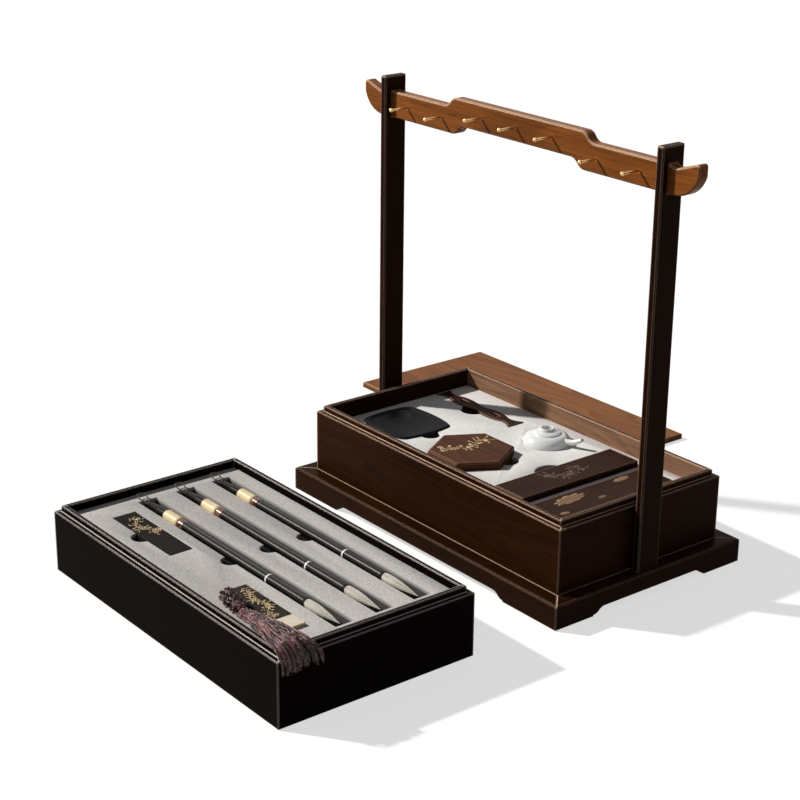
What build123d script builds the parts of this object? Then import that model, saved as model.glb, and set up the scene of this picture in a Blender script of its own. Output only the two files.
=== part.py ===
from build123d import *

import os
from math import radians, tan

# A desk calligraphy set.  A hanging rack stands on a bracket-footed plinth, the lower box
# sits between its posts, and the upper tray and the flat cover have been lifted off and
# lie on the table in front and behind.
#
# Millimetres.  +Z is up, +X runs along the crossbar, -Y is the front, and the origin is
# the centre of the plinth's underside.

# ---------------------------------------------------------------- driving dimensions

# The two tiers share one carcass: mitred boards with an inset lip that locates the next.
TIER_LENGTH = 360.0
TIER_DEPTH = 202.0
LEDGE = 5.0
LIP_WALL = 4.5
LIP_RISE = 6.0
BOTTOM_THICK = 5.0
BOTTOM_REBATE = 4.5
LOWER_HEIGHT = 63.0
UPPER_HEIGHT = 60.0
LOWER_FOAM_DROP = 12.5          # foam top below the lower box's ledge
UPPER_FOAM_DROP = 2.0
BOARD = LEDGE + LIP_WALL
OPEN_X = TIER_LENGTH / 2 - BOARD
OPEN_Y = TIER_DEPTH / 2 - BOARD
DRAWN_OPEN = (170.5, 91.5)      # places in the foams are drawn for this opening and spread with it

# Plinth
PLINTH_OUT = (16.0, 16.25)      # how far it stands out beyond the tiers
PLINTH_LENGTH = TIER_LENGTH + 2 * PLINTH_OUT[0]
PLINTH_DEPTH = TIER_DEPTH + 2 * PLINTH_OUT[1]
PLINTH_HEIGHT = 23.5
RAIL_WIDTH = 22.0
PANEL_THICK = 8.0
PANEL_REBATE = 6.0
APRON_DROP = 16.2               # apron depth below the plinth's top
LONG_FOOT = 70.0                # bracket foot along the front and the back
SHORT_FOOT = 46.0
FOOT_OGEE = 14.0
FOOT_STEP = 1.6

# Rack
POST_THICK = 8.0
POST_WIDTH = 26.0
POST_ABOVE_BAR = 15.0
POST_CHAMFER = 1.1
POST_GAP = 3.5                  # between the tier's end and the post
TENON_THICK = 5.0
TENON_WIDTH = 18.0
TENON_DEEP = 14.0
BAR_THICK = 11.5
BAR_DEEP = 26.0
BAR_SHOULDER_TOP = 401.0
BAR_CREST_RISE = 9.0            # the middle stands this much above the shoulders
BAR_CREST_HALF = 85.0
BAR_SHOULDER_HALF = 102.5
BAR_BELLY_HALF = 71.5
BAR_BELLY_END = 90.5
BAR_OVERHANG = 34.5             # its tips, beyond the outer faces of the posts
BAR_TIP_RISE = 6.0
BAR_TIP_ROUND = 3.0
BAR_HOLLOW_OUT = 10.5
BAR_HOLLOW_DEEP = 2.0
BAR_KEEL_OUT = 8.0
BAR_HEEL_RISE = 20.0            # the tip's round underside ends this high above the bar's
BAR_CHAMFER = 1.1
PEG_DIA = 2.4
PEG_BALL_DIA = 4.0
PEG_REACH = 20.0
PEG_SET = 6.0
MIDDLE_PEGS = [-48.0, 0.0, 48.0]
SHOULDER_PEGS = [106.0, 158.0]
PEG_BELOW_TOP = 12.5

# Things in the lower foam, all in the stand's frame
SNUG = 0.4                      # clearance round each thing in its pocket
FOAM_GAP = 0.3                  # clearance between soft or round things and what they lie on
INKSTONE_AT = (-123.0, -30.0)
INKSTONE_HALF = (33.0, 30.5)
INKSTONE_BULGE = 4.0
INKSTONE_CORNER = 10.0
INKSTONE_THICK = 18.0
INKSTONE_PROUD = 2.0
REST_IN = (2.5, 25.0)           # from the opening's left and back edges
REST_HALF_LENGTH = 57.5
REST_END_HALF = 10.5
REST_NECK_HALF = 4.8
REST_NECK_X = 42.0
REST_HUMP_HALF = 9.0
REST_HUMP_X = 24.0
REST_VALLEY_HALF = 5.6
REST_THICK = 11.0
REST_PROUD = 1.0
REST_EASE = 0.6
REST_SLOT = (15.0, 4.8)
PASTE_AT = (-19.0, -33.0)
PASTE_RADIUS = 42.8             # to the corners of the hexagon
PASTE_BODY = 24.0
PASTE_LID = 14.0
PASTE_PROUD = 8.0
PASTE_CAVITY_RADIUS = 31.0
PASTE_FLOOR = 4.0
PASTE_PAD = 10.0
LID_SPIGOT = 3.0
LID_HOLLOW = 8.0
LID_WALL = 3.6
LID_GAP = 0.4
DROPPER_AT = (-1.0, 50.0)
DROPPER_RADIUS = 24.0
DROPPER_DEEP = 12.0             # below the foam's surface
DROPPER_TURN = 19.0             # the spout's heading from +X
WEIGHT_AT = (78.75, 3.25)
WEIGHT_SIZE = (38.5, 148.5, 18.0)
WEIGHT_PROUD = 6.0
CLOUD_AT = (128.0, 2.0)
CLOUD_SIZE = (44.0, 150.0, 14.0)
CLOUD_PROUD = 2.0
# Finger notches: their middle from that of the thing, their radius and their depth
INKSTONE_NOTCH = (38.0, 0.0, 10.0, 14.0)
REST_NOTCH = (-1.5, -6.0, 14.0, 10.0)
PASTE_NOTCH = (31.0, 20.0, 11.0, 16.0)
WEIGHT_NOTCH = (-18.75, -0.25, 18.0, 12.0)

# Upper tray: where it has been put down, and what lies in its foam, in the tray's frame
TRAY_ASIDE = 6.0
TRAY_AHEAD = 85.75              # clear table between it and the plinth
BRUSH_ROWS = {"a": -20.5, "b": 21.0, "c": 61.0}
BRUSH_POCKET_IN = (16.5, 14.5)  # from the opening's left and right edges
BRUSH_POCKET_NEAR = 6.3
BRUSH_POCKET_FAR = 13.7
BRUSH_POCKET_DEEP = 12.0
CAP_IN = 27.5
CAP_LENGTH = 30.0
CREAM_LENGTH = 23.0
AMBER_LENGTH = 8.0
WHITE_RING_LENGTH = 2.0
FERRULE_LENGTH = 54.5
HAIR_LENGTH = 46.0
HAIR_IN = 16.5
CAP_END_RADIUS = 2.4
CAP_RADIUS = 4.5
CREAM_RADIUS = 5.75
AMBER_RADIUS = 5.2
SHAFT_RADIUS = 4.5
SHAFT_THIN_RADIUS = 4.2
WHITE_RING_RADIUS = 4.7
FERRULE_RADIUS = 4.9
HAIR_RADIUS = 5.1
SPIGOT_RADIUS = 2.0
SPIGOT_SET = 6.0
HAIR_ROOT_RADIUS = 4.0
HAIR_ROOT_SET = 8.0
LOOP_DIA = 1.2
LOOP_LEG = 1.0                  # half the distance between the two legs at the cap
LOOP_STRAIGHT = 4.0
LOOP_HALF_WIDTH = 4.6
LOOP_WAIST = (10.0, 4.0, 2.2)   # beyond the cap, half as wide, above the brush's middle
LOOP_END = (18.5, 4.6)          # beyond the cap, above the brush's middle
STICK_IN = (33.0, 28.0)         # from the opening's left and front edges
STICK_SIZE = (99.0, 24.0, 12.0)
STICK_NOTCH = (51.5, 10.0)      # from the stick's left end, and its radius
SEAL_IN = (31.5, 26.5)          # from the opening's right and front edges
SEAL_SIZE = (86.0, 20.5, 20.0)
SLEEVE_LENGTH = 68.0
SEAL_PROUD = 3.0
STONE_TENON = (33.0, 16.5, 16.0)

# Cover
COVER_OUT = 25.0                # its middle, beyond the plinth's left end
COVER_BEHIND = 2.0
COVER_THICK = 6.0
COVER_GAP = 0.5                 # all round, inside a tier's lip

# Worked out
LOWER_BASE = PLINTH_HEIGHT
LOWER_FOAM_TOP = LOWER_BASE + LOWER_HEIGHT - LOWER_FOAM_DROP
UPPER_FOAM_TOP = UPPER_HEIGHT - UPPER_FOAM_DROP
POST_INNER = TIER_LENGTH / 2 + POST_GAP
POST_MID = POST_INNER + POST_THICK / 2
POST_OUTER = POST_INNER + POST_THICK
POST_TOP = BAR_SHOULDER_TOP + POST_ABOVE_BAR
BAR_TIP_HALF = POST_OUTER + BAR_OVERHANG
BAR_HOLLOW_END = POST_OUTER + BAR_HOLLOW_OUT
BAR_KEEL_START = POST_OUTER + BAR_KEEL_OUT
BAR_SHOULDER_BOTTOM = BAR_SHOULDER_TOP - BAR_DEEP
REST_AT = (REST_HALF_LENGTH + REST_IN[0] - OPEN_X, OPEN_Y - REST_IN[1] - REST_END_HALF)
TRAY_AT = (TRAY_ASIDE, -(PLINTH_DEPTH / 2 + TRAY_AHEAD + TIER_DEPTH / 2))
BRUSH_POCKET_X = (BRUSH_POCKET_IN[0] - OPEN_X, OPEN_X - BRUSH_POCKET_IN[1])
CAP_START = CAP_IN - OPEN_X
CREAM_START = CAP_START + CAP_LENGTH
AMBER_START = CREAM_START + CREAM_LENGTH
SHAFT_START = AMBER_START + AMBER_LENGTH
HAIR_TIP = OPEN_X - HAIR_IN
HAIR_START = HAIR_TIP - HAIR_LENGTH
FERRULE_START = HAIR_START - FERRULE_LENGTH
WHITE_RING_START = FERRULE_START - WHITE_RING_LENGTH
STICK_X = (STICK_IN[0] - OPEN_X, STICK_IN[0] - OPEN_X + STICK_SIZE[0])
STICK_Y = (STICK_IN[1] - OPEN_Y, STICK_IN[1] - OPEN_Y + STICK_SIZE[1])
SEAL_X = (OPEN_X - SEAL_IN[0] - SEAL_SIZE[0], OPEN_X - SEAL_IN[0])
SEAL_Y = (SEAL_IN[1] - OPEN_Y, SEAL_IN[1] - OPEN_Y + SEAL_SIZE[1])
FOOT_CUT = PLINTH_HEIGHT - APRON_DROP
SIDES = {"front": 0, "right": 90, "back": 180, "left": -90}


# ---------------------------------------------------------------- helpers

def block(x, y, z):
    """A box between two limits on each axis."""
    middle = [(low + high) / 2 for low, high in (x, y, z)]
    size = [high - low for low, high in (x, y, z)]
    return Pos(*middle) * Box(*size)


def spread(at):
    """A place drawn for the usual opening, moved with the opening's real size."""
    return (at[0] * OPEN_X / DRAWN_OPEN[0], at[1] * OPEN_Y / DRAWN_OPEN[1])


def sheet_of(*edges):
    """A flat face bounded by a closed run of edges."""
    return make_face(Curve() + list(edges))


def ogee(start, end):
    """An S of two arcs between two points, level at both of its ends."""
    middle = ((start[0] + end[0]) / 2, (start[1] + end[1]) / 2)
    way = 1 if end[0] > start[0] else -1
    first = TangentArc(start, middle, tangent=(way, 0))
    second = TangentArc(end, middle, tangent=(-way, 0))
    return [first, second]


def turned(points, start=0.0):
    """A solid of revolution about X from (x, radius) points, beginning at the axis."""
    ends = [(points[0][0], start), *points, (points[-1][0], start)]
    face = make_face(Polyline(*ends, close=True))
    return revolve(face, Axis.X)


def mitred_frame(section, length, depth, wall):
    """Four boards round a rectangle, mitred at the corners, from one (inward, z) section."""
    boards = {}
    for side, turn in SIDES.items():
        along = side in ("front", "back")
        run = length if along else depth
        away = (depth if along else length) / 2
        blank = extrude(Plane.YZ * section, run / 2, both=True)
        ends = [(-run / 2, 0), (run / 2, 0), (run / 2 - wall, wall), (wall - run / 2, wall)]
        mitre = extrude(make_face(Polyline(*ends, close=True)), 2 * TIER_LENGTH, both=True)
        boards[side] = Rot(Z=turn) * Pos(Y=-away) * (blank & mitre)
    return boards


def rounded_section(points, rounded):
    """A section through the given points, with the named corners rounded off."""
    face = make_face(Polyline(*points, close=True))
    for corner, radius in rounded.items():
        vertex = face.vertices().sort_by_distance((*corner, 0))[0]
        face = fillet(vertex, radius)
    return face


def soften(solid, radius, z):
    """Round the edges that lie level at one height."""
    edges = solid.edges().filter_by(lambda e: abs(e.bounding_box().min.Z - z) < 1e-4
                                    and abs(e.bounding_box().max.Z - z) < 1e-4)
    return fillet(edges, radius)


# ---------------------------------------------------------------- plinth and rack

def apron_cut(run, foot):
    """The opening beneath a rail: an ogee at each foot and a level apron between."""
    reach = run / 2 - foot
    inner = reach - FOOT_OGEE
    left = ogee((-reach, FOOT_STEP), (-inner, FOOT_CUT))
    right = ogee((inner, FOOT_CUT), (reach, FOOT_STEP))
    under = -1.0
    outline = [Line((-reach, under), (-reach, FOOT_STEP)), *left,
               Line((-inner, FOOT_CUT), (inner, FOOT_CUT)), *right,
               Line((reach, FOOT_STEP), (reach, under)), Line((reach, under), (-reach, under))]
    face = Plane.XZ * sheet_of(*outline)
    return extrude(face, 2 * RAIL_WIDTH, both=True)


def tenon(sign):
    """The stub tenon under a post, which the plinth's end rail is mortised for."""
    x = sign * POST_MID
    return block((x - TENON_THICK / 2, x + TENON_THICK / 2),
                 (-TENON_WIDTH / 2, TENON_WIDTH / 2),
                 (PLINTH_HEIGHT - TENON_DEEP, PLINTH_HEIGHT))


def plinth():
    top = PLINTH_HEIGHT
    seat = top - PANEL_THICK
    land = RAIL_WIDTH - PANEL_REBATE
    section = rounded_section(
        [(0, 0), (RAIL_WIDTH, 0), (RAIL_WIDTH, seat), (land, seat), (land, top), (0, top)],
        {(0, top): 2.2, (0, 0): 0.8})
    rails = mitred_frame(section, PLINTH_LENGTH, PLINTH_DEPTH, RAIL_WIDTH)
    pieces = {}
    for side, rail in rails.items():
        along = side in ("front", "back")
        run = PLINTH_LENGTH if along else PLINTH_DEPTH
        away = (PLINTH_DEPTH if along else PLINTH_LENGTH) / 2
        cut = apron_cut(run, LONG_FOOT if along else SHORT_FOOT)
        pieces[f"plinth_{side}_rail"] = rail - Rot(Z=SIDES[side]) * Pos(Y=-away) * cut
    pieces["plinth_left_rail"] -= tenon(-1)
    pieces["plinth_right_rail"] -= tenon(1)
    half_x = PLINTH_LENGTH / 2 - land
    half_y = PLINTH_DEPTH / 2 - land
    pieces["plinth_panel"] = block((-half_x, half_x), (-half_y, half_y), (seat, top))
    return pieces


def bar_outline():
    """The crossbar from the front: raised middle, ogee shoulders, upswept ends."""
    crest = BAR_SHOULDER_TOP + BAR_CREST_RISE
    belly = BAR_SHOULDER_BOTTOM + BAR_CREST_RISE
    tip_top = BAR_SHOULDER_TOP + BAR_TIP_RISE
    heel = BAR_SHOULDER_BOTTOM + BAR_HEEL_RISE
    hollow = BAR_SHOULDER_TOP - BAR_HOLLOW_DEEP
    edges = []
    for s in (1, -1):
        edges += [
            Line((0, crest), (s * BAR_CREST_HALF, crest)),
            *ogee((s * BAR_CREST_HALF, crest), (s * BAR_SHOULDER_HALF, BAR_SHOULDER_TOP)),
            Line((s * BAR_SHOULDER_HALF, BAR_SHOULDER_TOP), (s * POST_OUTER, BAR_SHOULDER_TOP)),
            TangentArc((s * BAR_HOLLOW_END, hollow), (s * POST_OUTER, BAR_SHOULDER_TOP),
                       tangent=(s * (BAR_HOLLOW_END - BAR_TIP_HALF), hollow - tip_top)),
            Line((s * BAR_HOLLOW_END, hollow), (s * BAR_TIP_HALF, tip_top)),
            Line((s * BAR_TIP_HALF, tip_top), (s * BAR_TIP_HALF, heel)),
            TangentArc((s * BAR_KEEL_START, BAR_SHOULDER_BOTTOM), (s * BAR_TIP_HALF, heel),
                       tangent=(s, 0)),
            Line((s * BAR_KEEL_START, BAR_SHOULDER_BOTTOM), (s * BAR_BELLY_END, BAR_SHOULDER_BOTTOM)),
            *ogee((s * BAR_BELLY_END, BAR_SHOULDER_BOTTOM), (s * BAR_BELLY_HALF, belly)),
            Line((s * BAR_BELLY_HALF, belly), (0, belly)),
        ]
    outline = sheet_of(*edges)
    horns = [corner for corner in outline.vertices()
             if abs(corner.Y - tip_top) < 0.1 and abs(corner.X) > POST_OUTER]
    return fillet(horns, BAR_TIP_ROUND)


def peg_places():
    """(x, z) of each peg: three on the raised middle and two on each shoulder."""
    crest = BAR_SHOULDER_TOP + BAR_CREST_RISE
    places = [(x, crest - PEG_BELOW_TOP) for x in MIDDLE_PEGS]
    places += [(s * x, BAR_SHOULDER_TOP - PEG_BELOW_TOP) for x in SHOULDER_PEGS for s in (-1, 1)]
    return places


def rack():
    face = BAR_THICK / 2
    bar = extrude(Plane.XZ * bar_outline(), face, both=True)
    long_edges = bar.faces().filter_by(Axis.Y).edges()
    bar = chamfer(long_edges, BAR_CHAMFER)
    pegs = []
    for x, z in peg_places():
        shank = Pos(x, -face + PEG_SET, z) * Rot(X=90) * Cylinder(
            PEG_DIA / 2, PEG_SET + PEG_REACH, align=(Align.CENTER, Align.CENTER, Align.MIN))
        bar -= shank
        pegs.append(shank + Pos(x, -face - PEG_REACH, z) * Sphere(PEG_BALL_DIA / 2))
    mortise = block((-BAR_TIP_HALF, BAR_TIP_HALF), (-face, face),
                    (BAR_SHOULDER_BOTTOM, BAR_SHOULDER_TOP))
    pieces = {"crossbar": bar, "hanger_pegs": Compound(children=pegs)}
    for name, sign in (("left_post", -1), ("right_post", 1)):
        limits = sorted((sign * POST_INNER, sign * POST_OUTER))
        post = block(limits, (-POST_WIDTH / 2, POST_WIDTH / 2), (PLINTH_HEIGHT, POST_TOP))
        ends = post.edges().filter_by(Axis.Z) + post.faces().sort_by(Axis.Z)[-1].edges()
        post = chamfer(ends, POST_CHAMFER)
        pieces[name] = post - mortise + tenon(sign)
    return pieces


# ---------------------------------------------------------------- tiers

def tier(name, base, height):
    """Four lipped boards and the bottom panel of one tier, centred on the origin."""
    ledge = base + height
    lip = ledge + LIP_RISE
    seat = base + BOTTOM_THICK
    land = BOARD - BOTTOM_REBATE
    section = rounded_section(
        [(0, base), (land, base), (land, seat), (BOARD, seat), (BOARD, lip), (LEDGE, lip),
         (LEDGE, ledge), (0, ledge)],
        {(0, ledge): 1.0, (LEDGE, lip): 1.0, (BOARD, lip): 0.8, (0, base): 0.6})
    boards = mitred_frame(section, TIER_LENGTH, TIER_DEPTH, BOARD)
    pieces = {f"{name}_{side}_board": board for side, board in boards.items()}
    half_x = TIER_LENGTH / 2 - land
    half_y = TIER_DEPTH / 2 - land
    pieces[f"{name}_bottom"] = block((-half_x, half_x), (-half_y, half_y), (base, seat))
    return pieces


def foam_block(base, top):
    return block((-OPEN_X, OPEN_X), (-OPEN_Y, OPEN_Y), (base + BOTTOM_THICK, top))


def notch(x, y, radius, top, deep):
    """A round finger recess beside a pocket."""
    return Pos(x, y, top) * Cylinder(radius, deep, align=(Align.CENTER, Align.CENTER, Align.MAX))


def pocket(outline, top, deep):
    """A pocket that follows a thing's outline with a little clearance."""
    return extrude(Pos(Z=top) * outline, -deep)


# ---------------------------------------------------------------- lower contents

def inkstone_outline(grow=0.0):
    """A rounded rectangle whose four sides bulge."""
    hx = INKSTONE_HALF[0] + grow
    hy = INKSTONE_HALF[1] + grow
    b = INKSTONE_BULGE
    face = sheet_of(ThreePointArc((-hx, -hy), (0, -hy - b), (hx, -hy)),
                    ThreePointArc((hx, -hy), (hx + b, 0), (hx, hy)),
                    ThreePointArc((hx, hy), (0, hy + b), (-hx, hy)),
                    ThreePointArc((-hx, hy), (-hx - b, 0), (-hx, -hy)))
    return Pos(*spread(INKSTONE_AT)) * fillet(face.vertices(), INKSTONE_CORNER + grow)


def inkstone():
    """A stone slab with a stepped rim, a shallow grinding dish and a deeper pool."""
    top = LOWER_FOAM_TOP + INKSTONE_PROUD
    x, y = spread(INKSTONE_AT)
    slab = extrude(Pos(Z=top - INKSTONE_THICK) * inkstone_outline(), INKSTONE_THICK)
    slab = soften(slab, 1.4, top)
    step = extrude(Pos(Z=top) * inkstone_outline(-5.0), -1.0)
    dish_radius = 120.0
    dish = Pos(x, y, top + dish_radius - 4.2) * Sphere(dish_radius)
    pool_radius = 22.0
    pool = Pos(x - 16, y + 4, top + pool_radius - 7.0) * Sphere(pool_radius)
    return slab - step - (dish & extrude(Pos(Z=top) * inkstone_outline(-8.0), -8)) - pool


def rest_outline(grow=0.0):
    """The brush rest from above: flared ends, drawn-in necks, a hump each side of a valley."""
    end = (REST_HALF_LENGTH + grow, REST_END_HALF + grow)
    neck = (REST_NECK_X, REST_NECK_HALF + grow)
    hump = (REST_HUMP_X, REST_HUMP_HALF + grow)
    valley = (REST_HUMP_X / 3, REST_VALLEY_HALF + 1.4 + grow)
    dip = (0, REST_VALLEY_HALF + grow)
    flare = (REST_NECK_X + 9, REST_NECK_HALF + 1.6 + grow)
    edges = []
    for sy in (1, -1):
        for sx in (1, -1):
            spots = [(sx * px, sy * py) for px, py in (end, flare, neck, hump, valley)]
            edges.append(ThreePointArc(*spots[:3]))
            edges.append(ThreePointArc(*spots[2:]))
        edges.append(ThreePointArc((valley[0], sy * valley[1]), (0, sy * dip[1]),
                                   (-valley[0], sy * valley[1])))
    for sx in (1, -1):
        edges.append(Line((sx * end[0], end[1]), (sx * end[0], -end[1])))
    return Pos(*REST_AT) * sheet_of(*edges)


def brush_rest():
    top = LOWER_FOAM_TOP + REST_PROUD
    ease = REST_EASE
    body = extrude(Pos(Z=top - REST_THICK) * rest_outline(), REST_THICK - ease)
    body += loft([Pos(Z=top - ease) * rest_outline(), Pos(Z=top) * rest_outline(-ease)], ruled=True)
    for s in (1, -1):
        slot = Pos(REST_AT[0] + s * REST_HUMP_X, REST_AT[1], top) * SlotOverall(*REST_SLOT)
        body -= extrude(slot, -REST_THICK)
    return body


def hexagon(grow=0.0):
    return Pos(*spread(PASTE_AT)) * RegularPolygon(PASTE_RADIUS + grow, 6)


def seal_paste_set():
    """Six-sided box with a round well of seal paste, and its lid with a locating spigot."""
    top = LOWER_FOAM_TOP + PASTE_PROUD
    seat = top - PASTE_LID
    base = seat - PASTE_BODY
    floor = base + PASTE_FLOOR
    at = spread(PASTE_AT)
    well = Pos(*at, floor) * Cylinder(PASTE_CAVITY_RADIUS, PASTE_BODY,
                                            align=(Align.CENTER, Align.CENTER, Align.MIN))
    box = extrude(Pos(Z=base) * hexagon(), PASTE_BODY) - well
    box = chamfer(box.faces().sort_by(Axis.Z)[0].outer_wire().edges(), 0.8)
    pad = Pos(*at, floor) * Cylinder(PASTE_CAVITY_RADIUS - LID_GAP, PASTE_PAD,
                                           align=(Align.CENTER, Align.CENTER, Align.MIN))
    pad = soften(pad, 2.0, floor + PASTE_PAD)
    lid = extrude(Pos(Z=seat) * hexagon(), PASTE_LID)
    lid = chamfer(lid.faces().sort_by(Axis.Z)[-1].edges(), 1.6)
    spigot_radius = PASTE_CAVITY_RADIUS - LID_GAP
    lid += Pos(*at, seat) * Cylinder(spigot_radius, LID_SPIGOT,
                                           align=(Align.CENTER, Align.CENTER, Align.MAX))
    lid -= Pos(*at, seat - LID_SPIGOT) * Cylinder(
        spigot_radius - LID_WALL, LID_SPIGOT + LID_HOLLOW,
        align=(Align.CENTER, Align.CENTER, Align.MIN))
    return {"paste_box": box, "paste_pad": pad, "paste_lid": lid}


def spout(radii, u):
    """A tapering, upcurved tube through three rings, drawn in the dropper's own frame."""
    rings = [((19.0, 16.0), 8), ((30.0, 18.0), 20), ((39.0, 22.6), 38)]
    faces = []
    for ((x, z), rise), radius in zip(rings, radii):
        plane = Plane(origin=(x * u, 0, z * u), x_dir=(0, 1, 0),
                      z_dir=Vector(1, 0, tan(radians(rise))))
        faces.append(plane * Circle(radius * u))
    return loft(faces)


def lathe(points, arcs, u):
    """A turned solid from (radius, height) points; the named pairs of runs are one arc."""
    spots = [(r * u, h * u) for r, h in points]
    edges = []
    at = 0
    while at < len(spots) - 1:
        if at in arcs:
            edges.append(ThreePointArc(*spots[at:at + 3]))
            at += 2
        else:
            edges.append(Line(spots[at], spots[at + 1]))
            at += 1
    edges.append(Line(spots[-1], spots[0]))
    return revolve(Plane.XZ * sheet_of(*edges), Axis.Z)


def dropper():
    """A hollow porcelain water dropper: squat belly, shoulder step, open neck, spout."""
    u = DROPPER_RADIUS / 24             # its profile is drawn for a radius of 24
    outside = lathe([(0, 0), (14, 0), (22.2, 5.5), (24, 13.5), (21.2, 18.8), (14.6, 21.6),
                     (13.6, 22.9), (10.6, 24.2), (7.6, 24.4), (6.9, 27.2), (0, 27.2)], (1, 3, 6), u)
    inside = lathe([(0, 2.6), (11.8, 2.6), (19.8, 7.0), (21.4, 13.5), (19.0, 17.2), (13.0, 19.6),
                    (5.4, 21.6), (5.4, 30), (0, 30)], (1, 3), u)
    pot = outside + spout((3.7, 2.8, 2.0), u)
    pot = pot - inside - spout((1.3, 1.1, 0.9), u)
    mouth = pot.edges().filter_by(GeomType.CIRCLE).sort_by(Axis.Z)[-2:]
    pot = fillet(mouth, 0.6 * u)
    place = Pos(*spread(DROPPER_AT), LOWER_FOAM_TOP - DROPPER_DEEP)
    return place * Rot(Z=DROPPER_TURN) * pot


def slab(at, size, top):
    """A flat slab with eased top edges."""
    body = Pos(*spread(at), top) * Box(*size, align=(Align.CENTER, Align.CENTER, Align.MAX))
    body = fillet(body.edges().filter_by(Axis.Z), 0.8)
    return chamfer(body.faces().sort_by(Axis.Z)[-1].edges(), 0.7)


def slab_outline(at, size):
    return Pos(*spread(at)) * Rectangle(size[0] + 2 * SNUG, size[1] + 2 * SNUG)


def lower_foam():
    top = LOWER_FOAM_TOP
    foam = foam_block(LOWER_BASE, top)
    foam -= pocket(inkstone_outline(SNUG), top, INKSTONE_THICK - INKSTONE_PROUD)
    foam -= pocket(rest_outline(SNUG), top, REST_THICK - REST_PROUD)
    foam -= pocket(hexagon(SNUG), top, PASTE_BODY + PASTE_LID - PASTE_PROUD)
    foam -= notch(*spread(DROPPER_AT), DROPPER_RADIUS + SNUG, top, DROPPER_DEEP)
    foam -= pocket(slab_outline(WEIGHT_AT, WEIGHT_SIZE), top, WEIGHT_SIZE[2] - WEIGHT_PROUD)
    foam -= pocket(slab_outline(CLOUD_AT, CLOUD_SIZE), top, CLOUD_SIZE[2] - CLOUD_PROUD)
    for at, (dx, dy, radius, deep) in [(spread(INKSTONE_AT), INKSTONE_NOTCH), (REST_AT, REST_NOTCH),
                                       (spread(PASTE_AT), PASTE_NOTCH),
                                       (spread(WEIGHT_AT), WEIGHT_NOTCH)]:
        foam -= notch(at[0] + dx, at[1] + dy, radius, top, deep)
    return foam


# ---------------------------------------------------------------- upper contents

def cord(points, dia, name):
    """A round cord through the points, each bend as wide as its two runs allow."""
    spots = [Vector(*p) for p in points]
    radii = []
    for before, corner, after in zip(spots, spots[1:], spots[2:]):
        turn = (corner - before).get_angle(after - corner)
        run = min((corner - before).length, (after - corner).length)
        radii.append(0.45 * run / tan(radians(turn / 2)))
    path = FilletPolyline(*spots, radius=radii)
    start = path.edges()[0]
    plane = Plane(origin=path @ 0, z_dir=path % 0)
    tube = sweep(plane * Circle(dia / 2), path=path)
    section = 3.14159265 * dia * dia / 4
    print(name, "radii", [round(v, 1) for v in radii], "volume ratio",
          round(tube.volume / (section * path.length), 4), "first run", round(start.length, 1))
    return tube


def loop_route():
    """The hanging loop of a brush, from one leg at the cap round to the other."""
    out, waist, rise = LOOP_WAIST
    half = [(CAP_START, LOOP_LEG, 0.0), (CAP_START - LOOP_STRAIGHT, LOOP_LEG, 0.0),
            (CAP_START - out, waist, rise), (CAP_START - LOOP_END[0], LOOP_HALF_WIDTH, LOOP_END[1])]
    return [(x, -y, z) for x, y, z in half] + [(x, y, z) for x, y, z in reversed(half)]


def row_y(row):
    return spread((0.0, BRUSH_ROWS[row]))[1]


def brush(row):
    """One brush lying along +X, hair towards the right, its hanging loop towards the left."""
    lay = Pos(0, row_y(row), UPPER_FOAM_TOP)
    spigot_start = CREAM_START - SPIGOT_SET
    cap = turned([(CAP_START, CAP_END_RADIUS), (CAP_START + 3, CAP_END_RADIUS + 0.8),
                  (CREAM_START - 12, CAP_RADIUS), (CREAM_START, CAP_RADIUS)])
    cap -= turned([(spigot_start, SPIGOT_RADIUS), (CREAM_START, SPIGOT_RADIUS)])
    cream = turned([(CREAM_START, CREAM_RADIUS - 0.8), (CREAM_START + 1.5, CREAM_RADIUS),
                    (AMBER_START - 1.5, CREAM_RADIUS), (AMBER_START, CREAM_RADIUS - 0.6)],
                   SPIGOT_RADIUS)
    amber = turned([(AMBER_START, AMBER_RADIUS - 0.3), (AMBER_START + 2, AMBER_RADIUS),
                    (SHAFT_START, SHAFT_RADIUS)], SPIGOT_RADIUS)
    shaft = turned([(SHAFT_START, SHAFT_RADIUS), (WHITE_RING_START, SHAFT_THIN_RADIUS)])
    shaft += turned([(spigot_start, SPIGOT_RADIUS), (SHAFT_START, SPIGOT_RADIUS)])
    ring = turned([(WHITE_RING_START, WHITE_RING_RADIUS), (FERRULE_START, WHITE_RING_RADIUS)])
    root = HAIR_START - HAIR_ROOT_SET
    ferrule = turned([(FERRULE_START, SHAFT_THIN_RADIUS), (HAIR_START - 30, SHAFT_THIN_RADIUS + 0.2),
                      (HAIR_START - 2, FERRULE_RADIUS), (HAIR_START, FERRULE_RADIUS - 0.4)])
    ferrule -= turned([(root, HAIR_ROOT_RADIUS), (HAIR_START, HAIR_ROOT_RADIUS)])
    pieces = {"loop": cord(loop_route(), LOOP_DIA, f"brush {row} loop"), "cap": cap,
              "cream_ring": cream, "amber_ring": amber, "shaft": shaft, "white_ring": ring,
              "ferrule": ferrule, "hair": hair()}
    return {f"brush_{row}_{name}": lay * piece for name, piece in pieces.items()}


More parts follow.
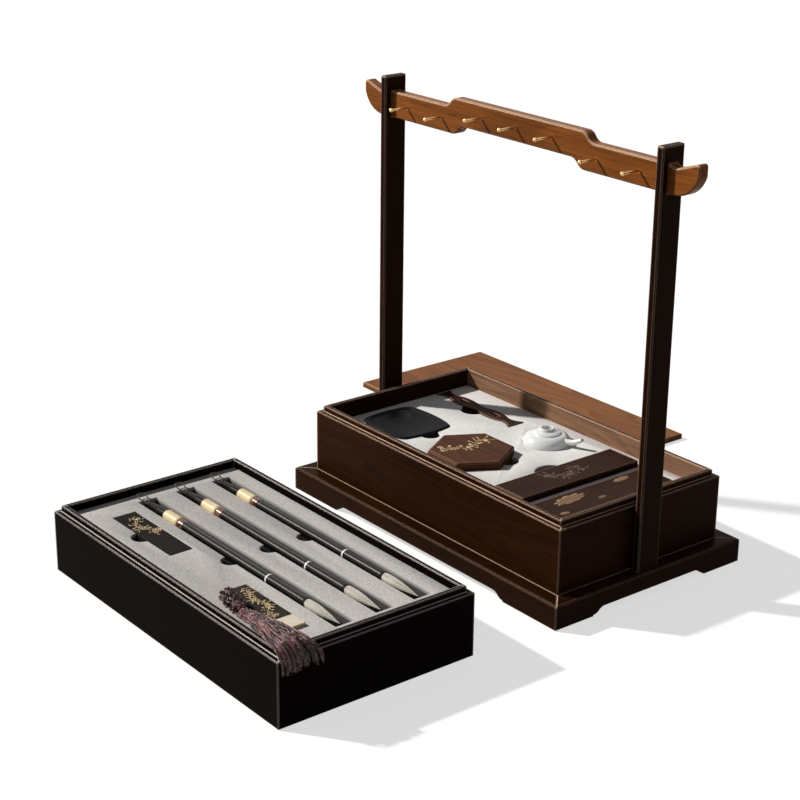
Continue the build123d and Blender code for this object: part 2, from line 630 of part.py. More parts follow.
def hair():
    """The tuft: a root in the ferrule, a soft belly and a long drawn-out point."""
    belly = HAIR_START + 11
    tuft = make_face(Curve() + [
        Line((HAIR_START - HAIR_ROOT_SET, 0), (HAIR_START - HAIR_ROOT_SET, HAIR_ROOT_RADIUS)),
        Line((HAIR_START - HAIR_ROOT_SET, HAIR_ROOT_RADIUS), (HAIR_START, HAIR_ROOT_RADIUS)),
        TangentArc((belly, HAIR_RADIUS), (HAIR_START, HAIR_ROOT_RADIUS), tangent=(-1, 0)),
        TangentArc((belly, HAIR_RADIUS), (HAIR_TIP, 0.3), tangent=(1, 0)),
        Line((HAIR_TIP, 0.3), (HAIR_TIP, 0)),
        Line((HAIR_TIP, 0), (HAIR_START - HAIR_ROOT_SET, 0))])
    return revolve(tuft, Axis.X)


def brush_pocket(row):
    """A long trough with two cross supports under the brush's rings and its ferrule."""
    y = row_y(row)
    across = (y - BRUSH_POCKET_NEAR, y + BRUSH_POCKET_FAR)
    floor = UPPER_FOAM_TOP - BRUSH_POCKET_DEEP
    trough = block(BRUSH_POCKET_X, across, (floor, UPPER_FOAM_TOP))
    for x, radius in [((CREAM_START, AMBER_START), CREAM_RADIUS),
                      ((HAIR_START - 30, HAIR_START), FERRULE_RADIUS)]:
        trough -= block(x, across, (floor, UPPER_FOAM_TOP - radius - FOAM_GAP))
    return trough + notch(2.0, across[0], 9.0, UPPER_FOAM_TOP, BRUSH_POCKET_DEEP)


def upper_foam():
    top = UPPER_FOAM_TOP
    foam = foam_block(0.0, top)
    for row in BRUSH_ROWS:
        foam -= brush_pocket(row)
    grown = [(low - SNUG, high + SNUG) for low, high in (STICK_X, STICK_Y, SEAL_X, SEAL_Y)]
    foam -= block(grown[0], grown[1], (top - STICK_SIZE[2], top))
    foam -= block(grown[2], grown[3], (top - SEAL_SIZE[2] + SEAL_PROUD, top))
    return foam - notch(STICK_X[0] + STICK_NOTCH[0], STICK_Y[0], STICK_NOTCH[1], top, STICK_SIZE[2])


def ink_stick():
    stick = block(STICK_X, STICK_Y, (UPPER_FOAM_TOP - STICK_SIZE[2], UPPER_FOAM_TOP))
    stick = fillet(stick.edges().filter_by(Axis.Z), 1.0)
    return chamfer(stick.faces().sort_by(Axis.Z)[-1].edges(), 0.6)


def seal():
    """A name-seal blank of stone, shouldered into a sleeve that covers its longer part."""
    top = UPPER_FOAM_TOP + SEAL_PROUD
    z = (top - SEAL_SIZE[2], top)
    joint = SEAL_X[0] + SLEEVE_LENGTH
    length, width, deep = STONE_TENON
    mid_y = (SEAL_Y[0] + SEAL_Y[1]) / 2
    mid_z = top - SEAL_SIZE[2] / 2
    core = block((joint - length, joint), (mid_y - width / 2, mid_y + width / 2),
                 (mid_z - deep / 2, mid_z + deep / 2))
    sleeve = block((SEAL_X[0], joint), SEAL_Y, z)
    sleeve = chamfer(sleeve.edges().filter_by(Axis.X), 0.6) - core - tassel_stub()
    stone = block((joint, SEAL_X[1]), SEAL_Y, z)
    stone = chamfer(stone.edges().filter_by(Axis.X), 0.6) + core
    return {"seal_sleeve": sleeve, "seal_stone": stone}


# The tassel hangs from the sleeve's closed end, lies along the foam and over the tray's lip.
STUB_DIA = 2.0
STUB_LIFT = 1.7
STUB_SET = 1.6
KNOT_START = (10.4, -7.6)       # both from the sleeve's front left corner
KNOT_END = (45.9, -14.4)
KNOT_BEADS = [(6.4, 6.4), (16.6, 7.0), (26.8, 6.6)]      # (place along the knot, radius)
STUB_ALONG = KNOT_BEADS[0][0]   # from the knot's start
COLLAR_RADIUS = 4.6
KNOT_LIFT = max(radius for _, radius in KNOT_BEADS) + FOAM_GAP
# Sections of the fringe: middle from the tray's opening, the sleeve's front and the lip's top,
# then width and thickness, then pitch in degrees
FRINGE_MIDDLES = [(-60.5, -15.9, -0.4), (-43.5, -18.0, 3.1), (-21.5, -19.0, 5.2), (1.0, -18.6, 4.3),
                  (11.1, -16.6, 1.0), (13.5, -14.0, -6.0), (13.9, -12.8, -17.0)]
FRINGE_SIZES = [(18.8, 8.4), (20.0, 7.6), (28.0, 6.8), (37.0, 6.2), (42.4, 5.8), (46.0, 5.2),
                (47.5, 3.8)]
FRINGE_PITCH = [6, 10, 0, -10, -52, -80, -88]


def tassel_line():
    """Where the knot starts and how far and which way it runs, along its middle."""
    corner = Vector(SEAL_X[0], SEAL_Y[0], UPPER_FOAM_TOP + KNOT_LIFT)
    return corner + Vector(*KNOT_START), Vector(*KNOT_END) - Vector(*KNOT_START)


def tassel_stub():
    """The cord end that ties the tassel into the sleeve's front side."""
    start, run = tassel_line()
    spot = start + run.normalized() * STUB_ALONG
    place = Pos(spot.X, spot.Y, UPPER_FOAM_TOP + STUB_LIFT) * Rot(X=-90)
    return place * Cylinder(STUB_DIA / 2, SEAL_Y[0] - spot.Y + STUB_SET,
                            align=(Align.CENTER, Align.CENTER, Align.MIN))


def tassel_knot():
    """Three round button knots in a row and the bound collar that the fringe leaves."""
    start, run = tassel_line()
    last = KNOT_BEADS[-1][0]
    length = run.length
    profile = Pos((last + length) / 2, 0) * Rectangle(length - last, 2 * COLLAR_RADIUS)
    for along, radius in KNOT_BEADS:
        profile += Pos(along, 0) * Circle(radius)
    profile &= Pos(length / 2, KNOT_LIFT) * Rectangle(length + 1, 2 * KNOT_LIFT)
    beads = Plane(origin=start, x_dir=run, z_dir=(0, 0, 1)) * revolve(profile, Axis.X)
    return beads + tassel_stub()


def tassel_fringe():
    """A flattened bundle that widens over the foam, climbs the lip and hangs outside it."""
    corner = Vector(OPEN_X, SEAL_Y[0], UPPER_HEIGHT + LIP_RISE)
    start, run = tassel_line()
    root = Plane(origin=start + run, x_dir=run.cross(Vector(0, 0, 1)), z_dir=run)
    sections = [root * Ellipse(COLLAR_RADIUS, COLLAR_RADIUS - 0.2)]
    for middle, (width, thick), pitch in zip(FRINGE_MIDDLES, FRINGE_SIZES, FRINGE_PITCH):
        along = Vector(1, 0, tan(radians(pitch)))
        plane = Plane(origin=corner + Vector(*middle), x_dir=(0, -1, 0), z_dir=along)
        sections.append(plane * Ellipse(width / 2, thick / 2))
    return loft(sections)


# ---------------------------------------------------------------- assembly

def cover():
    half_x = OPEN_X - COVER_GAP
    half_y = OPEN_Y - COVER_GAP
    board = block((-half_x, half_x), (-half_y, half_y), (0, COVER_THICK))
    board = chamfer(board.faces().sort_by(Axis.Z)[-1].edges(), 0.8)
    x = -PLINTH_LENGTH / 2 - COVER_OUT
    return Pos(x, PLINTH_DEPTH / 2 + COVER_BEHIND + half_y) * board


def build():
    pieces = plinth()
    pieces.update(rack())
    pieces.update(tier("lower", LOWER_BASE, LOWER_HEIGHT))
    pieces["lower_foam"] = lower_foam()
    pieces["inkstone"] = inkstone()
    pieces["brush_rest"] = brush_rest()
    pieces.update(seal_paste_set())
    pieces["dropper"] = dropper()
    pieces["paperweight"] = slab(WEIGHT_AT, WEIGHT_SIZE, LOWER_FOAM_TOP + WEIGHT_PROUD)
    pieces["cloud_paperweight"] = slab(CLOUD_AT, CLOUD_SIZE, LOWER_FOAM_TOP + CLOUD_PROUD)
    tray = tier("upper", 0.0, UPPER_HEIGHT)
    tray["upper_foam"] = upper_foam()
    for row in BRUSH_ROWS:
        tray.update(brush(row))
    tray["ink_stick"] = ink_stick()
    tray.update(seal())
    tray["tassel_knot"] = tassel_knot()
    tray["tassel_fringe"] = tassel_fringe()
    pieces.update({name: Pos(*TRAY_AT, 0) * piece for name, piece in tray.items()})
    pieces["cover_board"] = cover()
    return pieces


os.makedirs("parts", exist_ok=True)
for node, piece in build().items():
    export_step(piece, f"parts/{node}.step")
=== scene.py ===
# %% [markdown]
# # A calligraphy set: rack, box, lifted-off tray and cover
# Blender dresses a model that already exists: every board, brush ring and foam block comes
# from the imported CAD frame, at its true place and size. This lesson gives each of them a
# finish, and replaces the soft things (hair, tassel, foam) by fuller pieces.

# %% Load the frame
import random
from math import atan2, cos, pi, radians, sin, sqrt, tan

import bpy
from mathutils import Matrix, Vector


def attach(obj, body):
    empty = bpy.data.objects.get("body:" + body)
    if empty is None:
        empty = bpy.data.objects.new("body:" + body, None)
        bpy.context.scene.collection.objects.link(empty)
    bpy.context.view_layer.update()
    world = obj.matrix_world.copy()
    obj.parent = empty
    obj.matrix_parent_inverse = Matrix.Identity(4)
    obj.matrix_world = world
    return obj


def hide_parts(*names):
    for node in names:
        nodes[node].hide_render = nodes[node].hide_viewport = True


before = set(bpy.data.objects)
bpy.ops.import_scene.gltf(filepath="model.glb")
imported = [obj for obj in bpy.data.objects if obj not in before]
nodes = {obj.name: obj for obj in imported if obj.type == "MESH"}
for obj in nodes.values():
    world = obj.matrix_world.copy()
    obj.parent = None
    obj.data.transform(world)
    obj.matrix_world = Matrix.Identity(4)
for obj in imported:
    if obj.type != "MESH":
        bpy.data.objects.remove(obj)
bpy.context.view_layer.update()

# %% [markdown]
# ## Places and small tools
# The frame is in metres, and the set was drawn in millimetres, so places are written in
# millimetres and divided once. The tray has its own middle, from which its things are placed.

# %% Millimetres and the tray's middle
MM = 0.001
scene = bpy.context.scene
TRAY_MIDDLE = Vector((6.0, -304.0, 0.0))  # where the tray was put down, from the rack
TRAY_FOAM_TOP = 58.0
BOX_FOAM_TOP = 74.0


def mm(x, y, z):
    return Vector((x, y, z)) * MM


def in_tray(x, y, z):
    return (Vector((x, y, z)) + TRAY_MIDDLE) * MM


def deselect():
    if bpy.context.object and bpy.context.object.mode != "OBJECT":
        bpy.ops.object.mode_set(mode="OBJECT")
    bpy.ops.object.select_all(action="DESELECT")


def make_active(piece):
    deselect()
    piece.select_set(True)
    bpy.context.view_layer.objects.active = piece


def settle(piece):
    """Put the piece's place, turn and size into its mesh."""
    make_active(piece)
    bpy.ops.object.transform_apply(location=True, rotation=True, scale=True)


def edit_all(piece):
    """Open a piece for editing, with all of it selected."""
    make_active(piece)
    bpy.ops.object.mode_set(mode="EDIT")
    bpy.ops.mesh.select_all(action="SELECT")


def face_outward():
    """Turn all faces outward and stop editing."""
    bpy.ops.mesh.select_all(action="SELECT")
    bpy.ops.mesh.normals_make_consistent(inside=False)
    bpy.ops.object.mode_set(mode="OBJECT")


def join(pieces, name):
    """Join finished pieces into one object with one mesh."""
    deselect()
    for piece in pieces:
        piece.select_set(True)
    bpy.context.view_layer.objects.active = pieces[0]
    bpy.ops.object.join()
    joined = bpy.context.object
    joined.name = joined.data.name = name
    return joined


# %% [markdown]
# ## The camera
# The photograph was taken from the right front, a little above. Its lens is long, so the
# posts stay almost upright, and the picture was cropped slightly off its middle, which the
# small lens shift repeats.

# %% Camera at the photograph's place
CAMERA_PLACE = mm(1243.9, -1131.1, 768.5)
CAMERA_TURN = radians(52.448)  # round from the front, towards the right
CAMERA_TILT = radians(20.532)  # down
CAMERA_ROLL = radians(0.256)
LENS, SENSOR = 83.7, 36.0  # both in millimetres
LENS_SHIFT = (0.0407, -0.0142)  # how far the picture was cropped off its middle
SIGHT = 50.0  # metres that the camera sees

back = Vector((sin(CAMERA_TURN) * cos(CAMERA_TILT), -cos(CAMERA_TURN) * cos(CAMERA_TILT),
               sin(CAMERA_TILT)))
level = Vector((cos(CAMERA_TURN), sin(CAMERA_TURN), 0.0))
over = back.cross(level)
right = cos(CAMERA_ROLL) * level + sin(CAMERA_ROLL) * over
up = cos(CAMERA_ROLL) * over - sin(CAMERA_ROLL) * level

lens_data = bpy.data.cameras.new("camera")
lens_data.sensor_width = SENSOR
lens_data.lens = LENS
lens_data.shift_x, lens_data.shift_y = LENS_SHIFT
lens_data.clip_end = SIGHT
camera = bpy.data.objects.new("camera", lens_data)
scene.collection.objects.link(camera)
camera.matrix_world = Matrix.Translation(CAMERA_PLACE) @ Matrix((right, up, back)).transposed().to_4x4()
scene.camera = camera
print("camera", round(CAMERA_PLACE.length, 2), "m from the rack's foot")

# %% [markdown]
# ## The brushes' hanging loops
# Each brush has a thin black cord at its tail, to hang it from a peg. It is limp but short,
# so it springs out of the cap in a narrow loop and lies just above the foam. A NURBS spline
# through a few points gives the smooth curve of a real cord. It ends as a mesh, because a
# curve object's box also counts its points' radius and comes out far too large.

# %% Loops of cord
BRUSH_ROWS = {"a": -20.5, "b": 21.0, "c": 61.0}
CAP_END = -143.0
LOOP_THICK = 1.2
# One half of a loop, from cap to bend: along the brush, to the side, above the foam
LOOP_HALF = [(0.0, 1.0, 0.0), (-4.0, 1.0, 0.0), (-10.0, 4.0, 2.2), (-18.5, 4.6, 4.6)]


def smooth_line(name, lines, thick, order, steps=6, sides=2):
    """A curve object with one NURBS spline for each line of (x, y, z) or (x, y, z, width)."""
    data = bpy.data.curves.new(name, "CURVE")
    data.dimensions = "3D"
    data.bevel_depth = thick / 2
    data.bevel_resolution = sides
    data.resolution_u = steps
    data.use_fill_caps = True
    for line in lines:
        spline = data.splines.new("NURBS")
        spline.points.add(len(line) - 1)
        for point, spot in zip(spline.points, line):
            point.co = (*spot[:3], 1.0)
            point.radius = spot[3] if len(spot) > 3 else 1.0
        spline.order_u = order
        spline.use_endpoint_u = True
    curve = bpy.data.objects.new(name, data)
    scene.collection.objects.link(curve)
    return curve


def bare_line(curve):
    """The spots along the middle of a curve with one spline."""
    thick = curve.data.bevel_depth
    curve.data.bevel_depth = 0.0
    bare = bpy.data.meshes.new_from_object(curve)
    curve.data.bevel_depth = thick
    spots = [v.co.copy() for v in bare.vertices]
    bpy.data.meshes.remove(bare)
    return spots


def to_mesh(curve):
    make_active(curve)
    bpy.ops.object.convert(target="MESH")
    piece = bpy.context.object
    bpy.ops.object.shade_smooth()
    return piece


loops = {}
for row, row_y in BRUSH_ROWS.items():
    out = [in_tray(CAP_END + x, row_y - y, TRAY_FOAM_TOP + z) for x, y, z in LOOP_HALF]
    home = [in_tray(CAP_END + x, row_y + y, TRAY_FOAM_TOP + z) for x, y, z in reversed(LOOP_HALF)]
    loop = smooth_line(f"brush_{row}_hanging_loop", [out + home], LOOP_THICK * MM, 3, steps=12, sides=4)
    middle = bare_line(loop)
    length = sum((b - a).length for a, b in zip(middle, middle[1:]))
    loop = to_mesh(loop)
    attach(loop, f"brush_{row}")
    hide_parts(f"brush_{row}_loop")
    loops[row] = loop
    print("loop", row, "length", round(length, 4), "m, faces", len(loop.data.polygons))

# %% [markdown]
# ## Light
# One lamp stands to the left of the camera, fairly low, and makes the peg shadows that run
# down to the right. The world fills the rest evenly. The background is white only for the
# camera and for reflections, so it adds no light to the set.

# %% Helpers for node trees
def add_to(tree, kind, inputs=None, **settings):
    """Add a shader node, set its inputs to values or to another node's output, and return it."""
    made = tree.nodes.new("ShaderNode" + kind)
    for name, value in settings.items():
        setattr(made, name, value)
    for name, value in (inputs or {}).items():
        if isinstance(value, bpy.types.NodeSocket):
            tree.links.new(value, made.inputs[name])
        else:
            made.inputs[name].default_value = value
    return made


def calc(tree, how, a, b):
    return add_to(tree, "Math", {0: a, 1: b}, operation=how).outputs[0]


def times(tree, a, b):
    return calc(tree, "MULTIPLY", a, b)


def seen_directly(tree):
    """1 for camera, mirror and see-through rays, 0 for the light that falls on things."""
    rays = add_to(tree, "LightPath").outputs
    either = calc(tree, "MAXIMUM", rays["Is Camera Ray"], rays["Is Glossy Ray"])
    return calc(tree, "MAXIMUM", either, rays["Is Transmission Ray"])


def bare_tree(owner):
    """Switch on the nodes of a material or world, and clear them."""
    owner.use_nodes = True
    owner.node_tree.nodes.clear()
    return owner.node_tree


def end_tree(tree, kind, for_light, for_eye):
    """End the tree with one shader for the light that falls on things and one for the eye."""
    both = add_to(tree, "MixShader", {0: seen_directly(tree), 1: for_light, 2: for_eye})
    add_to(tree, kind, {"Surface": both.outputs[0]})


# %% Key lamp
KEY_WAY = Vector((0.64, 0.48, -0.6))  # the way its light goes
scene.view_settings.view_transform = "Standard"
key_data = bpy.data.lights.new("key_lamp", "SUN")
key_data.energy = 3.7
key_data.angle = radians(2.0)
key_data.color = (1.0, 0.955, 0.9)
key = bpy.data.objects.new("key_lamp", key_data)
key.rotation_euler = KEY_WAY.to_track_quat("-Z", "Y").to_euler()
scene.collection.objects.link(key)
print("key lamp along", list(KEY_WAY))

# %% World
FILL_COLOUR = (0.96, 0.98, 1.0, 1.0)
FILL_STRENGTH = 0.12
WHITE = (1.0, 1.0, 1.0, 1.0)

world = bpy.data.worlds.new("studio")
scene.world = world
world_tree = bare_tree(world)
fill = add_to(world_tree, "Background", {"Color": FILL_COLOUR, "Strength": FILL_STRENGTH})
white = add_to(world_tree, "Background", {"Color": WHITE, "Strength": 1.0})
end_tree(world_tree, "OutputWorld", fill.outputs[0], white.outputs[0])
print("world fill", FILL_STRENGTH)

# %% [markdown]
# ## The floor
# A plain pale table. The camera sees it nearly white, with the set's shadow left in it.

# %% Floor
FLOOR_SIZE = 14.0  # metres
FLOOR_DROP = 0.0002  # metres below the feet
FLOOR_FOR_LIGHT = (0.24, 0.235, 0.23, 1.0)  # the grey that throws light back on the set
FLOOR_SEEN = (0.5, 0.5, 0.5, 1.0)  # the grey that shows the shadow
FLOOR_GLOW = 0.64  # lifts that grey to nearly white

bpy.ops.mesh.primitive_plane_add(size=FLOOR_SIZE, location=(0.0, 0.0, -FLOOR_DROP))
floor = bpy.context.object
floor.name = "floor"
floor_finish = bpy.data.materials.new("pale_table")
floor_tree = bare_tree(floor_finish)
table = add_to(floor_tree, "BsdfDiffuse", {"Color": FLOOR_FOR_LIGHT})
shown = add_to(floor_tree, "BsdfDiffuse", {"Color": FLOOR_SEEN})
glow = add_to(floor_tree, "Emission", {"Color": WHITE, "Strength": FLOOR_GLOW})
pale = add_to(floor_tree, "AddShader", {0: shown.outputs[0], 1: glow.outputs[0]})
end_tree(floor_tree, "OutputMaterial", table.outputs[0], pale.outputs[0])
floor.data.materials.append(floor_finish)
print("floor", FLOOR_SIZE, "m wide")

# %% [markdown]
# ## How a finish is built
# Every finish is a Principled shader fed by noise in the object's own coordinates, so it
# sits still on the piece and needs no unwrapping.

# %% Finish helpers
def finish(name, **constants):
    """A new material, its tree and its Principled shader, with the constant sockets set."""
    made = bpy.data.materials.new(name)
    tree = bare_tree(made)
    shader = add_to(tree, "BsdfPrincipled",
                    {socket.replace("_", " "): value for socket, value in constants.items()})
    add_to(tree, "OutputMaterial", {"Surface": shader.outputs[0]})
    print("finish", name)
    return made, tree, shader


def link(tree, shader, **sockets):
    """Feed the shader's sockets from other nodes."""
    for name, value in sockets.items():
        tree.links.new(value, shader.inputs[name.replace("_", " ")])


def place_of(tree, scale=(1.0, 1.0, 1.0), shift=(0.0, 0.0, 0.0)):
    """The object's own coordinates, stretched and then shifted."""
    where = add_to(tree, "TexCoord").outputs["Object"]
    return add_to(tree, "Mapping", {"Vector": where, "Location": shift,
                                    "Scale": scale}).outputs[0]


def noise(tree, place, detail=4.0, rough=0.55, warp=0.0):
    """Noise at a place, whose stretch sets the size of its cells."""
    return add_to(tree, "TexNoise", {"Vector": place, "Scale": 1.0, "Detail": detail,
                                     "Roughness": rough, "Distortion": warp}).outputs["Fac"]


def mottle(tree, cells, **how):
    """Noise that is alike in every direction, with this many cells to a metre."""
    return noise(tree, place_of(tree, (cells, cells, cells)), **how)


def ramp(tree, factor, low, high, to_low=0.0, to_high=1.0):
    """Stretch a factor from one range to another, held at both ends."""
    return add_to(tree, "MapRange", {"Value": factor, "From Min": low, "From Max": high,
                                     "To Min": to_low, "To Max": to_high}).outputs[0]


def blend(tree, factor, a, b, how="MIX"):
    """Mix two colours."""
    made = add_to(tree, "Mix", data_type="RGBA", blend_type=how)
    for socket, value in ((0, factor), (6, a), (7, b)):
        if isinstance(value, bpy.types.NodeSocket):
            tree.links.new(value, made.inputs[socket])
        else:
            made.inputs[socket].default_value = value if socket == 0 else (*value, 1.0)
    return made.outputs[2]


def bump(tree, height, depth, strength=1.0, under=None):
    inputs = {"Height": height, "Distance": depth, "Strength": strength}
    if under:
        inputs["Normal"] = under
    return add_to(tree, "Bump", inputs).outputs[0]


def dot(tree, a, b):
    return add_to(tree, "VectorMath", {0: a, 1: b}, operation="DOT_PRODUCT").outputs["Value"]


def part_of(tree, vector, axis):
    """The X, Y or Z part of a vector."""
    return add_to(tree, "SeparateXYZ", {0: vector}).outputs["XYZ".index(axis)]


def grey(tree, value):
    """A grey from one number."""
    return add_to(tree, "CombineColor", {0: value, 1: value, 2: value}).outputs[0]


def own_normal(tree):
    return add_to(tree, "NewGeometry").outputs["Normal"]


def arris(tree, reach, low=0.015, high=0.16):
    """1 on the arrises, 0 on the flats, and the rounded normal, which catches the light there."""
    rounded = add_to(tree, "Bevel", {"Radius": reach}, samples=6).outputs[0]
    unlike = calc(tree, "SUBTRACT", 1.0, dot(tree, rounded, own_normal(tree)))
    return ramp(tree, unlike, low, high), rounded


def dress(piece, material):
    """Give a piece this finish alone."""
    piece.data.materials.clear()
    piece.data.materials.append(material)


def paint(material, *names):
    """Give a finish to CAD nodes, in every slot that they have."""
    for name in names:
        slots = nodes[name].data.materials
        if not slots:
            slots.append(material)
        for index in range(len(slots)):
            slots[index] = material
    print(material.name, "on", *names)


# %% [markdown]
# ## Stained wood
# The rack, the boxes and the cover are hardwood under a dark stain. Grain is noise stretched
# along the board; its contour lines give the year rings, a finer noise gives the fibres, and
# a few thresholded streaks are the open pores. The arrises are painted paler, partly as rubbed
# wear and partly as painted highlight, most on those that face upward. Boards that run in
# different directions need their own copy, with the stretch along X, Y or Z.

# %% Grain
# Cells of noise to a metre, across the grain and along it
PATCHES = (9.0, 4.0)
RINGS = (16.0, 2.2)
FIBRES = (620.0, 14.0)
PORES = (1150.0, 34.0)
HAIRLINES = (1700.0, 55.0)
CONTOURS = 11.0  # contour lines drawn from the rings' noise


def grain(tree, along, seed, figure):
    """Tone, patches, fibres and pores of a board with its grain along X, Y or Z."""
    def streaks(cells, **how):
        scale = [cells[0]] * 3
        scale["XYZ".index(along)] = cells[1]
        return noise(tree, place_of(tree, scale, (seed, seed * 1.7, seed * 0.6)), **how)

    broad = streaks(RINGS, detail=2.0, warp=0.5)
    rings = calc(tree, "FRACT", times(tree, broad, CONTOURS), 0.0)
    rings = times(tree, ramp(tree, rings, 0.0, 0.82), ramp(tree, rings, 1.0, 0.9))
    fibres = streaks(FIBRES, detail=3.0, rough=0.6)
    hairlines = streaks(HAIRLINES, detail=2.0)
    pores = ramp(tree, streaks(PORES, detail=1.0), 0.66, 0.73)
    patches = ramp(tree, streaks(PATCHES, detail=1.0), 0.3, 0.7, 0.78, 1.18)
    tone = calc(tree, "ADD", times(tree, rings, figure), times(tree, fibres, 0.75))
    tone = calc(tree, "ADD", tone, times(tree, hairlines, 0.25))
    return ramp(tree, tone, 0.3, 1.05 + figure * 0.4), patches, fibres, pores


# %% Wood
STAIN_TINT = (1.0, 0.78, 0.62, 1.0)
PORE_DEPTH = 0.55  # how strongly the pores darken the stain
RUB_AND_HIGHLIGHT = 0.95  # how strongly the arrises are painted paler: rubbed wear and painted highlight
ARRIS_REACH = 0.0018  # metres


def faces_middle(tree):
    """1 on upright faces that look towards the rack's middle, as the inner walls of the box do; the painted
    light goes there.
    """
    outward = dot(tree, place_of(tree, (1.0, 1.0, 0.0)), own_normal(tree))
    return ramp(tree, outward, -0.02, -0.06)


def wood(name, along, dark, pale, rubbed, rough=0.42, seed=0.0, figure=0.16, shine=0.02, inside=None):
    """Stained wood: `figure` is the strength of its rings, `inside` a paler colour screened onto the inner
    faces as painted light.
    """
    made, tree, shader = finish(name, Specular_IOR_Level=shine, Specular_Tint=STAIN_TINT)
    tone, patches, fibres, pores = grain(tree, along, seed, figure)
    colour = blend(tree, 1.0, blend(tree, tone, dark, pale), grey(tree, patches), "MULTIPLY")
    colour = blend(tree, times(tree, pores, PORE_DEPTH), colour, [part * 0.35 for part in dark])
    # Painted light: the inner faces are screened paler, as if the lamp lit them
    if inside:
        painted_light = times(tree, faces_middle(tree), ramp(tree, tone, 0.1, 0.7, 0.45, 1.0))
        colour = blend(tree, painted_light, colour, inside, "SCREEN")
    # Paler arrises: partly rubbed wear, partly painted highlight, strongest on the upward-facing ones as
    # painted light from above
    edge, rounded = arris(tree, ARRIS_REACH, 0.004, 0.045)
    worn = times(tree, edge, ramp(tree, part_of(tree, rounded, "Z"), -0.1, 0.45, 0.22, 1.0))
    worn = times(tree, worn, ramp(tree, fibres, 0.2, 0.6, 0.85 * RUB_AND_HIGHLIGHT, RUB_AND_HIGHLIGHT))
    colour = blend(tree, worn, colour, rubbed)
    height = calc(tree, "SUBTRACT", times(tree, fibres, 0.35), pores)
    link(tree, shader, Base_Color=colour, Roughness=ramp(tree, fibres, 0.2, 0.8, rough - 0.05, rough + 0.08),
         Normal=bump(tree, height, 0.00008, 0.55, rounded))
    return made


# %% Rack, boxes and cover
# `rubbed` is the colour laid on the arrises: rubbed wear and painted highlight
DARK = dict(dark=(0.011, 0.0034, 0.001), pale=(0.056, 0.0175, 0.0045), rubbed=(0.88, 0.62, 0.46))
RACK = dict(DARK, pale=(0.04, 0.0125, 0.0035))
POST = dict(DARK, pale=(0.034, 0.012, 0.0048))
BLACK = dict(dark=(0.0018, 0.001, 0.0007), pale=(0.007, 0.0038, 0.0024), rubbed=(0.9, 0.82, 0.78))
RED = dict(dark=(0.14, 0.042, 0.007), pale=(0.47, 0.15, 0.03), rubbed=(1.0, 0.76, 0.52))
LIGHT = dict(dark=(0.14, 0.052, 0.018), pale=(0.34, 0.14, 0.055), rubbed=(0.62, 0.4, 0.24))
# The paler colour of the painted light on the box's inner faces
PAINTED_LIGHT_INSIDE = (0.34, 0.195, 0.12)

for along, sides in (("X", ("front", "back")), ("Y", ("left", "right"))):
    rack_wood = wood(f"rack_wood_{along.lower()}", along, seed=1.3, **RACK)
    box_wood = wood(f"box_wood_{along.lower()}", along, seed=6.7, **DARK)
    tray_wood = wood(f"tray_wood_{along.lower()}", along, seed=7.7, shine=0.008, **BLACK)
    paint(rack_wood, *[f"plinth_{side}_rail" for side in sides])
    paint(box_wood, *[f"lower_{side}_board" for side in sides])
    paint(tray_wood, *[f"upper_{side}_board" for side in sides])
# The box's back board is painted over with its own wood, whose inner face gets a paler tone as painted light.
paint(wood("back_board_wood", "X", seed=8.3, inside=PAINTED_LIGHT_INSIDE, **DARK), "lower_back_board")
paint(wood("panel_wood", "X", seed=2.2, **DARK), "plinth_panel", "lower_bottom")
paint(wood("tray_bottom_wood", "X", seed=2.9, **BLACK), "upper_bottom")
paint(wood("post_wood", "Z", seed=5.5, **POST), "left_post", "right_post")
paint(wood("crossbar_wood", "X", seed=9.4, rough=0.36, figure=0.2, shine=0.08, **RED), "crossbar")
paint(wood("cover_wood", "X", seed=3.6, rough=0.46, figure=0.28, shine=0.04, **LIGHT), "cover_board")

# %% [markdown]
# ## The small wooden things
# The brush rest, the six-sided paste box and the two weights are stained rosewood, redder
# and finer than the boxes. The same wood recipe serves, with other tones.

# %% Rosewood
# As on the boards, `rubbed` is the arrises' colour: rubbed wear and painted highlight
ROSE = dict(dark=(0.02, 0.007, 0.004), rubbed=(0.34, 0.2, 0.13))
REST = dict(ROSE, pale=(0.045, 0.017, 0.011))
PASTE_BOX = dict(ROSE, dark=(0.045, 0.016, 0.008), pale=(0.18, 0.075, 0.036))
WEIGHT = dict(ROSE, pale=(0.06, 0.023, 0.012))
CLOUD_WEIGHT = dict(ROSE, pale=(0.066, 0.029, 0.014))
paint(wood("rest_wood", "X", seed=6.3, rough=0.34, **REST), "brush_rest")
paint(wood("paste_wood", "X", seed=8.8, rough=0.44, **PASTE_BOX), "paste_box", "paste_lid")
paint(wood("weight_wood", "Y", seed=1.9, rough=0.4, **WEIGHT), "paperweight")
paint(wood("cloud_wood", "Y", seed=5.1, rough=0.38, **CLOUD_WEIGHT), "cloud_paperweight")

# %% [markdown]
# ## Metal, stone and glaze
# The pegs are turned brass, the inkstone is fine slate, the dropper is glazed porcelain and
# the seal is a pale soapstone. Each has its own way of breaking up a plain colour: turning
# marks, mineral flecks, a very slight glaze ripple, and soft veins.

# %% Brass
brass, tree, shader = finish("turned_brass", Metallic=1.0)
smear = mottle(tree, 260.0, detail=3.0)
marks = noise(tree, place_of(tree, (90.0, 2600.0, 90.0)), detail=1.0)
link(tree, shader, Base_Color=blend(tree, smear, (0.6, 0.36, 0.15), (0.88, 0.62, 0.3)),
     Roughness=ramp(tree, smear, 0.2, 0.8, 0.2, 0.4), Normal=bump(tree, marks, 0.00003, 0.5))
paint(brass, "hanger_pegs")

